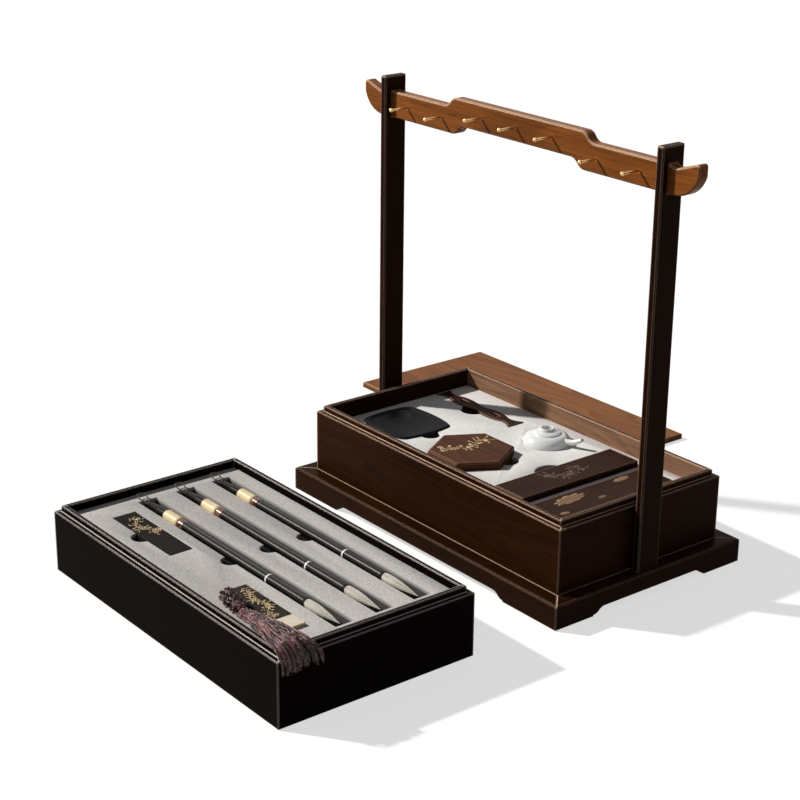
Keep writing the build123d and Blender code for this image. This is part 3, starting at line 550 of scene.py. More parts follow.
# %% Slate
slate, tree, shader = finish("slate", Specular_IOR_Level=0.04)
cloudy = mottle(tree, 38.0, detail=5.0, rough=0.65)
flecks = ramp(tree, mottle(tree, 1500.0, detail=1.0), 0.66, 0.8)
grit = mottle(tree, 2600.0, detail=2.0)
colour = blend(tree, cloudy, (0.005, 0.0054, 0.006), (0.021, 0.0225, 0.0245))
colour = blend(tree, times(tree, flecks, 0.3), colour, (0.1, 0.105, 0.11))
edge, rounded = arris(tree, 0.0012)
colour = blend(tree, times(tree, edge, 0.35), colour, (0.06, 0.063, 0.068))
link(tree, shader, Base_Color=colour, Roughness=ramp(tree, cloudy, 0.3, 0.7, 0.42, 0.6),
     Normal=bump(tree, grit, 0.00005, 0.5, rounded))
paint(slate, "inkstone")

# %% Porcelain
porcelain, tree, shader = finish("porcelain", Coat_Weight=0.6, Coat_Roughness=0.05, Subsurface_Weight=0.12,
                                 Subsurface_Scale=0.002, Subsurface_Radius=(1.0, 0.9, 0.8))
pool = mottle(tree, 70.0, detail=3.0)
ripple = mottle(tree, 150.0, detail=1.0)
link(tree, shader, Base_Color=blend(tree, pool, (0.8, 0.845, 0.86), (0.9, 0.915, 0.91)),
     Roughness=ramp(tree, pool, 0.3, 0.7, 0.14, 0.24), Normal=bump(tree, ripple, 0.00012, 0.25))
paint(porcelain, "dropper")

# %% Soapstone
soapstone, tree, shader = finish("soapstone", Subsurface_Weight=0.25, Subsurface_Scale=0.003,
                                 Subsurface_Radius=(1.0, 0.7, 0.4), Specular_IOR_Level=0.5)
warped = noise(tree, place_of(tree, (60.0, 110.0, 110.0)), detail=4.0, warp=1.5)
veins = ramp(tree, calc(tree, "ABSOLUTE", calc(tree, "SUBTRACT", warped, 0.5), 0.0), 0.0, 0.035, 1.0, 0.0)
colour = blend(tree, warped, (0.72, 0.6, 0.44), (0.88, 0.81, 0.68))
colour = blend(tree, times(tree, veins, 0.35), colour, (0.62, 0.42, 0.26))
link(tree, shader, Base_Color=colour, Roughness=ramp(tree, warped, 0.3, 0.7, 0.22, 0.36))
paint(soapstone, "seal_stone")

# %% [markdown]
# ## The brushes' handles
# Each handle is a row of turned horn and lacquer: a black cap, an ivory-coloured ring, a
# mottled amber ring, a long black shaft, a white bead ring and a black ferrule. Horn shows
# streaks along its length, and tortoiseshell shows dark clouds in amber.

# %% Horn and lacquer
HORN_BLACK = (0.0035, 0.003, 0.0028)


def horn(name, dark, pale, rough, across=420.0, lengthways=26.0, low=0.3, high=0.7, shine=0.4):
    """Horn or lacquer, with streaks along the handle."""
    made, tree, shader = finish(name, Specular_IOR_Level=shine)
    streaks = noise(tree, place_of(tree, (lengthways, across, across)), detail=3.0, warp=0.6)
    scuffs = noise(tree, place_of(tree, (300.0, 1500.0, 1500.0)), detail=2.0)
    link(tree, shader, Base_Color=blend(tree, ramp(tree, streaks, low, high), dark, pale),
         Roughness=ramp(tree, scuffs, 0.3, 0.75, rough, rough + 0.12),
         Normal=bump(tree, scuffs, 0.00002, 0.3))
    return made


black_horn = horn("black_horn", HORN_BLACK, (0.016, 0.011, 0.008), 0.2, shine=0.1)
ivory_horn = horn("ivory_horn", (0.66, 0.47, 0.2), (0.86, 0.74, 0.47), 0.26, low=0.25, high=0.6)
amber_horn = horn("amber_horn", (0.03, 0.011, 0.005), (0.42, 0.17, 0.055), 0.14, across=300.0,
                  lengthways=170.0, low=0.4, high=0.62)
white_horn = horn("white_horn", (0.72, 0.72, 0.69), (0.9, 0.9, 0.88), 0.2)
black_lacquer = horn("black_lacquer", HORN_BLACK, (0.013, 0.01, 0.008), 0.2, low=0.35, high=0.9, shine=0.2)
for row in BRUSH_ROWS:
    paint(black_horn, f"brush_{row}_cap")
    paint(ivory_horn, f"brush_{row}_cream_ring")
    paint(amber_horn, f"brush_{row}_amber_ring")
    paint(black_lacquer, f"brush_{row}_shaft", f"brush_{row}_ferrule")
    paint(white_horn, f"brush_{row}_white_ring")

# %% [markdown]
# ## Ink, seal sleeve and seal paste
# The ink stick is pressed soot with a dull skin. The seal's longer part wears a paper-lined
# cloth sleeve. The paste inside the six-sided box is an oily vermilion pad.

# %% Ink, sleeve and paste
ink, tree, shader = finish("pressed_ink", Specular_IOR_Level=0.02)
skin = mottle(tree, 130.0, detail=6.0, rough=0.7)
pits = mottle(tree, 1900.0, detail=2.0)
colour = blend(tree, skin, (0.008, 0.0075, 0.007), (0.034, 0.031, 0.028))
edge, rounded = arris(tree, 0.0008)
colour = blend(tree, times(tree, edge, 0.5), colour, (0.08, 0.072, 0.064))
link(tree, shader, Base_Color=colour, Roughness=ramp(tree, skin, 0.3, 0.7, 0.5, 0.72),
     Normal=bump(tree, pits, 0.00005, 0.6, rounded))
paint(ink, "ink_stick")

sleeve, tree, shader = finish("sleeve_cloth", Specular_IOR_Level=0.03)
bands = {"Vector": place_of(tree), "Scale": 330.0, "Distortion": 0.4, "Detail": 1.0}
cloth = [add_to(tree, "TexWave", bands, bands_direction=way).outputs["Fac"] for way in "XY"]
weave = times(tree, *cloth)
worn = mottle(tree, 60.0, detail=4.0)
colour = blend(tree, weave, (0.012, 0.01, 0.009), (0.06, 0.052, 0.044))
colour = blend(tree, ramp(tree, worn, 0.4, 0.75, 0.0, 0.3), colour, (0.1, 0.082, 0.065))
link(tree, shader, Base_Color=colour, Roughness=ramp(tree, weave, 0.0, 1.0, 0.55, 0.75),
     Normal=bump(tree, weave, 0.00006, 0.7))
paint(sleeve, "seal_sleeve")

paste, tree, shader = finish("vermilion_paste", Specular_IOR_Level=0.5)
lumps = mottle(tree, 240.0, detail=5.0, rough=0.65)
link(tree, shader, Base_Color=blend(tree, lumps, (0.36, 0.022, 0.014), (0.62, 0.06, 0.032)),
     Roughness=ramp(tree, lumps, 0.3, 0.7, 0.38, 0.6), Normal=bump(tree, lumps, 0.0004, 0.8))
paint(paste, "paste_pad")

# %% [markdown]
# ## Cord for the loops
# The loops are fine black silk cord. Its twist is drawn in the UV map that each loop's mesh
# has from its curve, where one direction runs along the cord and the other round it.

# %% Twisted cord
TWIST = (60.0, 3.0, 1.0)  # bands along the cord and round it
cord_finish, tree, shader = finish("black_silk_cord", Sheen_Weight=0.4, Sheen_Roughness=0.35)
unwrapped = add_to(tree, "TexCoord").outputs["UV"]
turned = add_to(tree, "Mapping", {"Vector": unwrapped, "Scale": TWIST}).outputs[0]
plies = add_to(tree, "TexWave", {"Vector": turned, "Scale": 1.0, "Distortion": 0.2},
               bands_direction="DIAGONAL").outputs["Fac"]
link(tree, shader, Base_Color=blend(tree, plies, (0.006, 0.0055, 0.0055), (0.04, 0.035, 0.032)),
     Roughness=ramp(tree, plies, 0.0, 1.0, 0.72, 0.5), Normal=bump(tree, plies, 0.00012, 0.8))
for loop in loops.values():
    dress(loop, cord_finish)

# %% [markdown]
# ## Foam inserts
# Both inserts are cut from closed-cell foam. Its cut edges are never as sharp as the CAD
# solid's, so a copy of the solid is merged, its flat faces are joined again, and a fine
# bevel rolls every pocket's rim. Foam is drawn by its speckle: tiny open cells. Its pockets
# darken below the top face with painted shade.

# %% Foam
PAINTED_SHADE_START, PAINTED_SHADE_END = 0.4, 5.0  # below the top, between which a pocket darkens with painted shade
RIM_ROLL, RIM_STEPS = 0.7, 2
WELD = 0.002  # points nearer than this are merged
# `deep` is how dark the painted shade gets at the bottom of the pockets
WHITE_FOAM = dict(dark=(0.69, 0.685, 0.68), pale=(0.91, 0.905, 0.9), speck=(0.81, 0.805, 0.79), deep=0.3)
GREY_FOAM = dict(dark=(0.42, 0.405, 0.4), pale=(0.68, 0.66, 0.655), speck=(0.53, 0.51, 0.5), deep=0.12)


def foam_finish(name, top, dark, pale, speck, deep):
    """Speckled foam whose cut pockets darken below its top face with painted shade."""
    made, tree, shader = finish(name, Specular_IOR_Level=0.02)
    cells = mottle(tree, 820.0, detail=3.0, rough=0.75)
    drift = mottle(tree, 14.0, detail=2.0)
    colour = blend(tree, ramp(tree, cells, 0.36, 0.58), dark, pale)
    colour = blend(tree, ramp(tree, drift, 0.35, 0.7, 0.0, 0.22), colour, speck)
    # Painted shade: the foam gets darker below its top, down the pocket walls and floors
    height = part_of(tree, place_of(tree), "Z")
    depth = ramp(tree, height, (top - PAINTED_SHADE_END) * MM, (top - PAINTED_SHADE_START) * MM, deep, 1.0)
    colour = blend(tree, 1.0, colour, grey(tree, depth), "MULTIPLY")
    link(tree, shader, Base_Color=colour, Roughness=ramp(tree, cells, 0.2, 0.8, 0.82, 0.98),
         Normal=bump(tree, cells, 0.00016, 0.7))
    return made


def loose_copy(node, name):
    """A copy of a CAD node that rides nothing yet and carries none of its marks."""
    piece = nodes[node].copy()
    piece.data = nodes[node].data.copy()
    piece.name = piece.data.name = name
    for mark in list(piece.keys()):
        del piece[mark]
    piece.parent = None
    scene.collection.objects.link(piece)
    return piece


def rolled_foam(node, name, material, body):
    """The CAD foam again, with every sharp rim rolled over."""
    piece = loose_copy(node, name)
    edit_all(piece)
    bpy.ops.mesh.remove_doubles(threshold=WELD * MM)
    bpy.ops.mesh.dissolve_limited(angle_limit=radians(1.0))
    bpy.ops.object.mode_set(mode="OBJECT")
    rim = piece.modifiers.new("rolled_rims", "BEVEL")
    rim.width = RIM_ROLL * MM
    rim.segments = RIM_STEPS
    rim.limit_method = "ANGLE"
    rim.angle_limit = radians(50.0)
    bpy.ops.object.modifier_apply(modifier=rim.name)
    bpy.ops.object.shade_smooth_by_angle(angle=radians(35.0))
    dress(piece, material)
    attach(piece, body)
    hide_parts(node)
    print(name, "faces", len(piece.data.polygons))


white_foam = foam_finish("white_foam", BOX_FOAM_TOP, **WHITE_FOAM)
grey_foam = foam_finish("grey_foam", TRAY_FOAM_TOP, **GREY_FOAM)
rolled_foam("lower_foam", "box_foam", white_foam, "lower_box")
rolled_foam("upper_foam", "tray_foam", grey_foam, "upper_tray")

# %% [markdown]
# ## Goat hair
# A brush's tuft is a bundle of hairs drawn to one point. A solid core, turned from the CAD
# tuft's profile, fills it, and fine curves laid over the core make its strands. The root
# goes a little way into the ferrule.

# %% The tuft's core
# Places along the brush and the tuft's radius there
TUFT = [(102.0, 3.6), (108.0, 3.75), (112.0, 4.1), (119.0, 4.25), (126.0, 3.85), (134.0, 2.95),
        (142.0, 1.8), (149.0, 0.85), (153.4, 0.25)]


def tuft_radius(x):
    for (xa, ra), (xb, rb) in zip(TUFT, TUFT[1:]):
        if x <= xb:
            return ra + (rb - ra) * (x - xa) / (xb - xa)
    return TUFT[-1][1]


def turned_along_x(name, stations, sides=20):
    """A round bar: a disc is drawn at the first station, then extruded and resized to each next."""
    (x, radius), rest = stations[0], stations[1:]
    bpy.ops.mesh.primitive_circle_add(vertices=sides, radius=radius * MM, fill_type="NGON",
                                      location=(x * MM, 0.0, 0.0), rotation=(0.0, pi / 2, 0.0))
    bar = bpy.context.object
    bar.name = bar.data.name = name
    settle(bar)
    edit_all(bar)
    for next_x, next_radius in rest:
        bpy.ops.mesh.extrude_region_move(TRANSFORM_OT_translate={"value": ((next_x - x) * MM, 0.0, 0.0)})
        grow = next_radius / radius
        bpy.ops.transform.resize(value=(1.0, grow, grow), center_override=(next_x * MM, 0.0, 0.0))
        x, radius = next_x, next_radius
    bpy.ops.mesh.select_all(action="SELECT")
    bpy.ops.mesh.remove_doubles(threshold=0.001 * MM)
    face_outward()
    bpy.ops.object.shade_smooth_by_angle(angle=radians(50.0))
    return bar


# %% Hair
HAIR_SHADE = (0.34, 0.31, 0.24)  # the darker, yellower tone of some hairs and the tips
TIP_SHADE = (114.0, 160.0)  # where the tufts darken towards their tips

goat, tree, shader = finish("goat_hair", Specular_IOR_Level=0.4, Sheen_Weight=0.2, Sheen_Roughness=0.4)
lock = add_to(tree, "NewGeometry").outputs["Random Per Island"]
along_hair = noise(tree, place_of(tree, (40.0, 900.0, 900.0)), detail=2.0)
tip = ramp(tree, part_of(tree, place_of(tree), "X"), TIP_SHADE[0] * MM, TIP_SHADE[1] * MM)
colour = blend(tree, lock, (0.3, 0.28, 0.235), (0.8, 0.77, 0.71))
colour = blend(tree, times(tree, along_hair, 0.35), colour, HAIR_SHADE)
colour = blend(tree, times(tree, tip, 0.4), colour, HAIR_SHADE)
link(tree, shader, Base_Color=colour, Roughness=ramp(tree, along_hair, 0.2, 0.8, 0.42, 0.62),
     Normal=bump(tree, along_hair, 0.00008, 0.5))

# %% Tufts
HAIRS, HAIR_THICK = 170, 0.26
HAIR_ROOTS, HAIR_TIPS = (104.0, 107.0), (140.0, 153.6)
POINT_TIPS = (151.0, 153.6)  # every third hair reaches the point
HAIR_WIDTHS = [1.0] * 5 + [0.75, 0.3]
TUFT_SEED = 40


def hair_line(chance, hair, row_y):
    """One hair, laid on the tuft from root to tip, a little lifted and twisted."""
    turn = 2 * pi * (hair + chance.uniform(-0.4, 0.4)) / HAIRS
    start = chance.uniform(*HAIR_ROOTS)
    end = chance.uniform(*(HAIR_TIPS if hair % 3 else POINT_TIPS))
    lift = chance.uniform(-0.05, 0.16)
    twist = chance.uniform(-0.25, 0.25)
    line = []
    for step, width in enumerate(HAIR_WIDTHS):
        t = step / (len(HAIR_WIDTHS) - 1)
        x = start + (end - start) * t
        radius = tuft_radius(x) + lift * sin(pi * t)
        angle = turn + twist * t
        middle = in_tray(x, row_y, TRAY_FOAM_TOP)
        line.append((*(middle + mm(0.0, radius * cos(angle), radius * sin(angle))), width))
    return line


for number, (row, row_y) in enumerate(BRUSH_ROWS.items()):
    chance = random.Random(TUFT_SEED + number)
    lines = [hair_line(chance, hair, row_y) for hair in range(HAIRS)]
    strands = to_mesh(smooth_line(f"hairs_{row}", lines, HAIR_THICK * MM, 4, steps=2, sides=0))
    core = turned_along_x(f"core_{row}", TUFT)
    core.location = in_tray(0.0, row_y, TRAY_FOAM_TOP)
    settle(core)
    tuft = join([core, strands], f"brush_{row}_tuft")
    dress(tuft, goat)
    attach(tuft, f"brush_{row}")
    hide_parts(f"brush_{row}_hair")
    print("tuft", row, "faces", len(tuft.data.polygons))

# %% [markdown]
# ## The tassel
# A silk tassel is tied to the seal's sleeve: a row of button knots with crimped threads
# springing from them, a bound collar, and then a long skirt that crosses the foam, climbs
# the tray's lip and hangs outside it. Every thread follows the sections of the CAD bundle,
# so the skirt fills the same space.

# %% Silk
silk, tree, shader = finish("purple_silk", Specular_IOR_Level=0.28)
thread = add_to(tree, "NewGeometry").outputs["Random Per Island"]
slub_and_glint = mottle(tree, 300.0, detail=2.0)
colour = blend(tree, ramp(tree, thread, 0.62, 0.92), (0.008, 0.0016, 0.002), (0.38, 0.175, 0.175))
# Pale pink spots: painted highlight, standing in for the silk's glints
colour = blend(tree, ramp(tree, slub_and_glint, 0.57, 0.62, 0.0, 0.6), colour, (0.6, 0.4, 0.395))
link(tree, shader, Base_Color=colour, Roughness=ramp(tree, slub_and_glint, 0.3, 0.7, 0.24, 0.42),
     Normal=bump(tree, slub_and_glint, 0.00012, 0.6))

# %% Button knots, each one cord led round and round a ball
KNOT_RISE = 7.3  # the knots' middles above the foam
KNOT_START = Vector((63.4, -72.6, TRAY_FOAM_TOP + KNOT_RISE))
KNOT_END = Vector((98.9, -79.4, TRAY_FOAM_TOP + KNOT_RISE))
KNOT_WAY = (KNOT_END - KNOT_START).normalized()
KNOT_SIDE = Vector((KNOT_WAY.y, -KNOT_WAY.x, 0.0))
BEADS = [(6.4, 6.4), (16.6, 7.0), (26.8, 6.6)]  # place along the row, and radius
KNOT_CORD = 2.1
CORD_TURNS, CORD_BIGHTS, CORD_POINTS = 3, 5, 70
CORD_SWING, CORD_DIP = 1.15, 0.35  # how far it leans to the ball's ends, and dives
CORE_DEPTH = 1.5  # of the ball under the cord's outside


def from_knot(along, across, rise):
    """A place from the knot's start: along its line, to its side and above it."""
    return in_tray(*(KNOT_START + KNOT_WAY * along + KNOT_SIDE * across + Vector((0, 0, rise))))


def button(along, radius):
    """The line of one cord that crosses itself all over a ball, over and under in turn."""
    line = []
    for step in range(CORD_POINTS + 1):
        t = 2 * pi * step / CORD_POINTS
        lean = CORD_SWING * sin(CORD_BIGHTS * t)
        turn = CORD_TURNS * t
        reach = radius - KNOT_CORD / 2 - CORD_DIP + CORD_DIP * cos(2 * CORD_BIGHTS * t)
        line.append(from_knot(along + reach * sin(lean), reach * cos(lean) * cos(turn),
                              reach * cos(lean) * sin(turn)))
    return line


knots = to_mesh(smooth_line("button_cords", [button(*bead) for bead in BEADS], KNOT_CORD * MM, 4, 3, 1))
cores = []
for along, radius in BEADS:
    bpy.ops.mesh.primitive_uv_sphere_add(segments=20, ring_count=12, radius=(radius - CORE_DEPTH) * MM,
                                         location=from_knot(along, 0.0, 0.0))
    cores.append(bpy.context.object)
    settle(cores[-1])
print("button knots", len(cores))

# %% The collar's binding, and the tie that holds the knots to the sleeve
COLLAR_TURNS, TURN_STEPS = 8, 8
COLLAR_FROM, COLLAR_TO, COLLAR_RADIUS = 30.0, 36.2, 3.9
COLLAR_THREAD = 0.95
TIE_X, TIE_Z, TIE_THICK = 69.7, 59.7, 1.9
TIE_Y = (-73.8, -69.0, -63.9)  # from the knots to the sleeve

collar_line = []
for step in range(COLLAR_TURNS * TURN_STEPS + 1):
    turn = 2 * pi * step / TURN_STEPS
    along = COLLAR_FROM + (COLLAR_TO - COLLAR_FROM) * step / (COLLAR_TURNS * TURN_STEPS)
    collar_line.append(from_knot(along, COLLAR_RADIUS * cos(turn), COLLAR_RADIUS * sin(turn)))
collar = to_mesh(smooth_line("collar_binding", [collar_line], COLLAR_THREAD * MM, 4, 2, 1))
tie_line = [in_tray(TIE_X, y, TIE_Z) for y in TIE_Y]
stub = to_mesh(smooth_line("tie", [tie_line], TIE_THICK * MM, 3, 3, 1))
print("collar turns", COLLAR_TURNS)

# %% Crimped threads that spring from the knots
CURLS, CURL_THICK, CURL_STEPS = 190, 0.8, 6
CURL_SEED = 7
FOAM_GAP = 0.5  # a curl stays this far above the foam
SLEEVE_SIDE, SLEEVE_OVER = -65.6, 61.6  # it passes beside the sleeve or over it
CURL_END = 54.5  # and goes no further towards the brush caps


def curl_line(chance):
    """A short thread that bows out from a knot and winds as it goes."""
    along, radius = chance.choice(BEADS)
    turn = chance.uniform(-0.25 * pi, 1.25 * pi)
    lean = chance.uniform(-1.2, 1.2)
    out = Vector((sin(lean), cos(lean) * cos(turn), cos(lean) * sin(turn)))
    drift = Vector([chance.uniform(-1, 1) for part in "xyz"]).normalized()
    tangent = out.cross(drift).normalized()
    line = []
    for step in range(CURL_STEPS + 1):
        t = step / CURL_STEPS
        push = radius - 0.9 + chance.uniform(1.4, 2.6) * sin(pi * t)
        swing = chance.uniform(2.6, 3.4) * (t - 0.5) + 0.8 * sin(4 * pi * t)
        spot = out * push + tangent * swing + drift * 0.7 * sin(3 * pi * t)
        line.append(from_knot(along + spot.x, spot.y, spot.z))
    return line


def is_clear(spot):
    place = spot / MM - TRAY_MIDDLE
    off_sleeve = place.y < SLEEVE_SIDE or place.z > SLEEVE_OVER
    return place.z > TRAY_FOAM_TOP + FOAM_GAP and off_sleeve and place.x > CURL_END


chance = random.Random(CURL_SEED)
curl_lines = []
while len(curl_lines) < CURLS:
    line = curl_line(chance)
    if all(is_clear(spot) for spot in line):
        curl_lines.append(line)
curls = to_mesh(smooth_line("crimped_threads", curl_lines, CURL_THICK * MM, 4, 2, 0))
knot = join([knots, *cores, collar, stub, curls], "tassel_button_knots")
dress(knot, silk)
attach(knot, "seal")
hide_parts("tassel_knot")
print("knots faces", len(knot.data.polygons))

# %% The skirt of threads
# Sections: middle (x, y, z) in the tray, pitch in degrees, width and thickness
SKIRT = [((110.0, -80.9, 65.6), 6, 18.8, 8.4), ((127.0, -83.0, 69.1), 10, 20.0, 7.6),
         ((149.0, -84.0, 71.2), 0, 28.0, 6.8), ((171.5, -83.6, 70.3), -10, 37.0, 6.2),
         ((181.6, -81.6, 67.0), -52, 42.4, 5.8), ((184.0, -79.0, 60.0), -80, 46.0, 5.2),
         ((184.4, -77.8, 49.0), -88, 47.5, 3.8)]
SKIRT_SEED = 21
SKIRT_ROOT = 34.5  # inside the collar
LOCKS, LOCK_THREADS = 24, 12
GOLDEN = 0.618  # of a turn from lock to lock spreads them evenly
LOCK_RADIUS, LOCK_TWIST = 1.3, 3.2  # each lock's threads wind round it this many turns
THREAD_THICK = 0.8
CRIMPED_SPANS = 4  # the locks lie straight once they hang
CRIMPS = 6  # bends between two sections


def crimped(start, end, number):
    """Bends to either side in turn, weaker from section to section."""
    bends = []
    for wave in range(1, CRIMPS):
        sway = chance.uniform(0.6, 2.0) * (1 if wave % 2 else -1) * (1.0 - 0.15 * number)
        rise = abs(sway) * chance.uniform(0.1, 0.6)
        bends.append(start.lerp(end, wave / CRIMPS) + Vector((0.0, sway, rise)))
    return bends


def lock_axis(lock):
    """The middle line of a lock, which keeps its place in every section."""
    turn, reach = 2 * pi * lock * GOLDEN, sqrt((lock + 0.5) / LOCKS)
    u, v = reach * cos(turn), reach * sin(turn)
    axis = [KNOT_START + KNOT_WAY * SKIRT_ROOT + KNOT_SIDE * (u * 2.6) - Vector((0, 0, v * 2.4))]
    for number, ((x, y, z), pitch, width, thick) in enumerate(SKIRT):
        down = Vector((tan(radians(pitch)), 0.0, -1.0)).normalized()
        spot = (Vector((x, y, z)) + Vector((0.0, -u * (width / 2 - LOCK_RADIUS) * 0.98, 0.0))
                + down * v * (thick / 2 - LOCK_RADIUS) * 0.95)
        if number < CRIMPED_SPANS:
            axis += crimped(axis[-1], spot, number)
        axis.append(spot)
    return axis


def thread_line(axis, own, last):
    """One thread wound round a lock's axis. It stops somewhere in the last span."""
    away = LOCK_RADIUS * chance.uniform(0.55, 1.0)
    end = len(axis) - 1
    line = []
    for number, spot in enumerate(axis):
        t = number / end
        angle = own + 2 * pi * LOCK_TWIST * t
        spread = away * (0.55 + 0.45 * min(1.0, 3 * t))
        if number == end:
            spot = axis[-2].lerp(spot, max(0.05, min(0.98, last + chance.uniform(-0.3, 0.3))))
        line.append((*in_tray(*(spot + Vector((0.0, spread * cos(angle), spread * sin(angle) * 0.8)))),
                     0.7 if number == end else 1.0))
    return line


chance = random.Random(SKIRT_SEED)
skirt_lines = []
for lock in range(LOCKS):
    axis = lock_axis(lock)
    last = chance.uniform(0.25, 0.9)
    first_turn = chance.uniform(0.0, 2 * pi)
    skirt_lines += [thread_line(axis, 2 * pi * number / LOCK_THREADS + first_turn, last)
                    for number in range(LOCK_THREADS)]
skirt = to_mesh(smooth_line("tassel_skirt", skirt_lines, THREAD_THICK * MM, 4, 2, 0))
dress(skirt, silk)
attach(skirt, "seal")
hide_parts("tassel_fringe")
print("skirt faces", len(skirt.data.polygons))

# %% [markdown]
# ## Gilt sprays
# The ink stick, the sleeve and the paste lid carry a common ornament: a winding vine with
# leaves and small blossoms. It is a low relief, as thick gilding is. One leaf is modelled
# from a disc, and the vine is a flattened curve with leaves copied along it.

# %% One leaf
RIM_DRAW = 0.88  # how far a plate's upper rim is drawn in


def flat_shape(name, points, thick):
    """A thin plate with the given outline, its upper rim drawn in a little."""
    bpy.ops.mesh.primitive_circle_add(vertices=len(points), radius=MM, fill_type="NGON")
    plate = bpy.context.object
    plate.name = plate.data.name = name
    for vertex, (x, y) in zip(plate.data.vertices, points):
        vertex.co = mm(x, y, 0.0)
    edit_all(plate)
    bpy.ops.mesh.extrude_region_move(TRANSFORM_OT_translate={"value": (0.0, 0.0, thick * MM)})
    bpy.ops.transform.resize(value=(RIM_DRAW, RIM_DRAW, 1.0))
    face_outward()
    return plate


def mirrored(half):
    """An outline from its lower half, which runs from one end of its axis to the other."""
    return half + [(x, -y) for x, y in reversed(half[1:-1])]


LEAF_POINTS = mirrored([(0.0, 0.0), (0.45, -0.42), (1.1, -0.62), (1.9, -0.5), (2.9, 0.0)])
PETAL_POINTS = mirrored([(0.15, 0.0), (0.5, -0.4), (1.0, -0.55), (1.35, -0.3), (1.45, 0.0)])


def copies(original, placings):
    """Copies of a small shape, each with its own mesh, moved and turned by its matrix."""
    made = []
    for placing in placings:
        twin = original.copy()
        twin.data = original.data.copy()
        twin.data.transform(placing)
        scene.collection.objects.link(twin)
        made.append(twin)
    return made


# %% A winding line and what grows on it
TWIG_WIDTHS = (0.8, 0.7, 0.45)  # at the foot, the bend and the tip
TENDRIL_STEPS, TENDRIL_TURN = 10, 0.8
PETALS = 5


def winding(start, end, sway, waves):
    """A function that gives the spot at t, from 0 to 1, of a line that winds more and more."""
    start = Vector(start)
    run = Vector(end) - start
    side = Vector((-run.y, run.x)).normalized()

    def spot(t, off=0.0):
        across = sway * sin(2 * pi * waves * t) * (0.5 + 0.5 * t) + off
        return start + run * t + side * across
    return spot


def turn_at(spot, t):
    ahead = spot(t + 0.01) - spot(t - 0.01)
    return atan2(ahead.y, ahead.x)


def twigs(chance, spot, sway, count):
    """Side stems to both sides in turn, with a leaf at each tip and each bend."""
    lines, marks = [], []
    for number in range(count):
        t = (number + chance.uniform(0.2, 0.8)) / count
        way = 1 if number % 2 else -1
        foot = spot(t)
        lean = turn_at(spot, t) + way * chance.uniform(0.6, 1.2)
        reach = sway * chance.uniform(0.25, 1.0)
        tip = foot + Vector((cos(lean), sin(lean))) * reach
        bend = foot.lerp(tip, 0.5) + Vector((-sin(lean), cos(lean))) * reach * 0.2 * way
        tip_turn = lean + way * chance.uniform(0.3, 1.3)
        lines.append(list(zip((foot, bend, tip), TWIG_WIDTHS)))
        marks.append(("leaf", tip, tip_turn, chance.uniform(0.75, 1.15)))
        marks.append(("leaf", bend, lean - way * 0.9, chance.uniform(0.5, 0.8)))
    return lines, marks


def tendrils(chance, spot, sway, count):
    """Small spirals beside the stem."""
    lines = []
    for number in range(count):
        middle = spot(chance.uniform(0.08, 1.0), chance.uniform(-0.75, 0.75) * sway)
        reach = sway * chance.uniform(0.2, 0.36)
        way = chance.choice((-1, 1))
        first = chance.uniform(0, 2 * pi)
        line = []
        for step in range(TENDRIL_STEPS + 1):
            turn = first + way * TENDRIL_TURN * step
            place = middle + Vector((cos(turn), sin(turn))) * reach * (1.0 - step / 12)
            line.append((place, 1.0 - step / 18))
        lines.append(line)
    return lines


def petals(chance, spot, sway, count):
    """The petals of small blossoms on and beside the stem."""
    marks = []
    for number in range(count):
        t = (number + 0.5 + chance.uniform(-0.2, 0.2)) / count
        middle = spot(t, chance.uniform(-0.7, 0.7) * sway)
        for petal in range(PETALS):
            marks.append(("petal", middle, 2 * pi * petal / PETALS + number, chance.uniform(0.85, 1.0)))
    return marks


# %% The whole vine
STEM_THICK, STEM_FLATNESS = 0.55, 0.25
MAIN_STEPS = 16
RELIEF = 0.09
SUNK = 0.01  # how deep a leaf's underside is let in


def vine(name, start, end, top, seed, leaf, sway=8.0, waves=1.5, leaves=22, blossoms=4, curls=12):
    """A winding stem from start to end in a level plane, with leaves, curls and blossoms."""
    chance = random.Random(seed)
    spot = winding(start, end, sway, waves)
    main = [(spot(k / MAIN_STEPS), 1.0 - 0.5 * abs(2 * k / MAIN_STEPS - 1)) for k in range(MAIN_STEPS + 1)]
    lines, marks = twigs(chance, spot, sway, leaves)
    lines = [main, *lines, *tendrils(chance, spot, sway, curls)]
    marks += petals(chance, spot, sway, blossoms)
    stems = [[(*mm(*place, top), width) for place, width in line] for line in lines]
    stalks = to_mesh(smooth_line(f"{name}_stems", stems, STEM_THICK * MM, 3, 3, 1))
    for vertex in stalks.data.vertices:
        vertex.co.z = top * MM + (vertex.co.z - top * MM) * STEM_FLATNESS
    parts = [stalks]
    for kind, outline in (("leaf", LEAF_POINTS), ("petal", PETAL_POINTS)):
        shape = flat_shape(kind, outline, RELIEF)
        parts += copies(shape, [Matrix.Translation(mm(*place, top - SUNK)) @ Matrix.Rotation(turn, 4, "Z")
                                @ Matrix.Diagonal((size * leaf, size * leaf, 1.0, 1.0))
                                for mark, place, turn, size in marks if mark == kind])
        bpy.data.objects.remove(shape)
    ornament = join(parts, name)
    print(name, "faces", len(ornament.data.polygons))
    return ornament


# %% Gilding
def gilding(name, dark, pale, metallic, rough):
    made, tree, shader = finish(name, Metallic=metallic)
    rubbed = mottle(tree, 500.0, detail=4.0, rough=0.7)
    link(tree, shader, Base_Color=blend(tree, ramp(tree, rubbed, 0.35, 0.6), dark, pale),
         Roughness=ramp(tree, rubbed, 0.3, 0.7, rough, rough + 0.2), Normal=bump(tree, rubbed, 0.00003, 0.4))
    return made


gilt = gilding("rubbed_gilt", (0.42, 0.28, 0.12), (0.95, 0.72, 0.4), 0.2, 0.36)
faint = gilding("tone_on_tone", (0.075, 0.034, 0.022), (0.15, 0.078, 0.05), 0.0, 0.45)

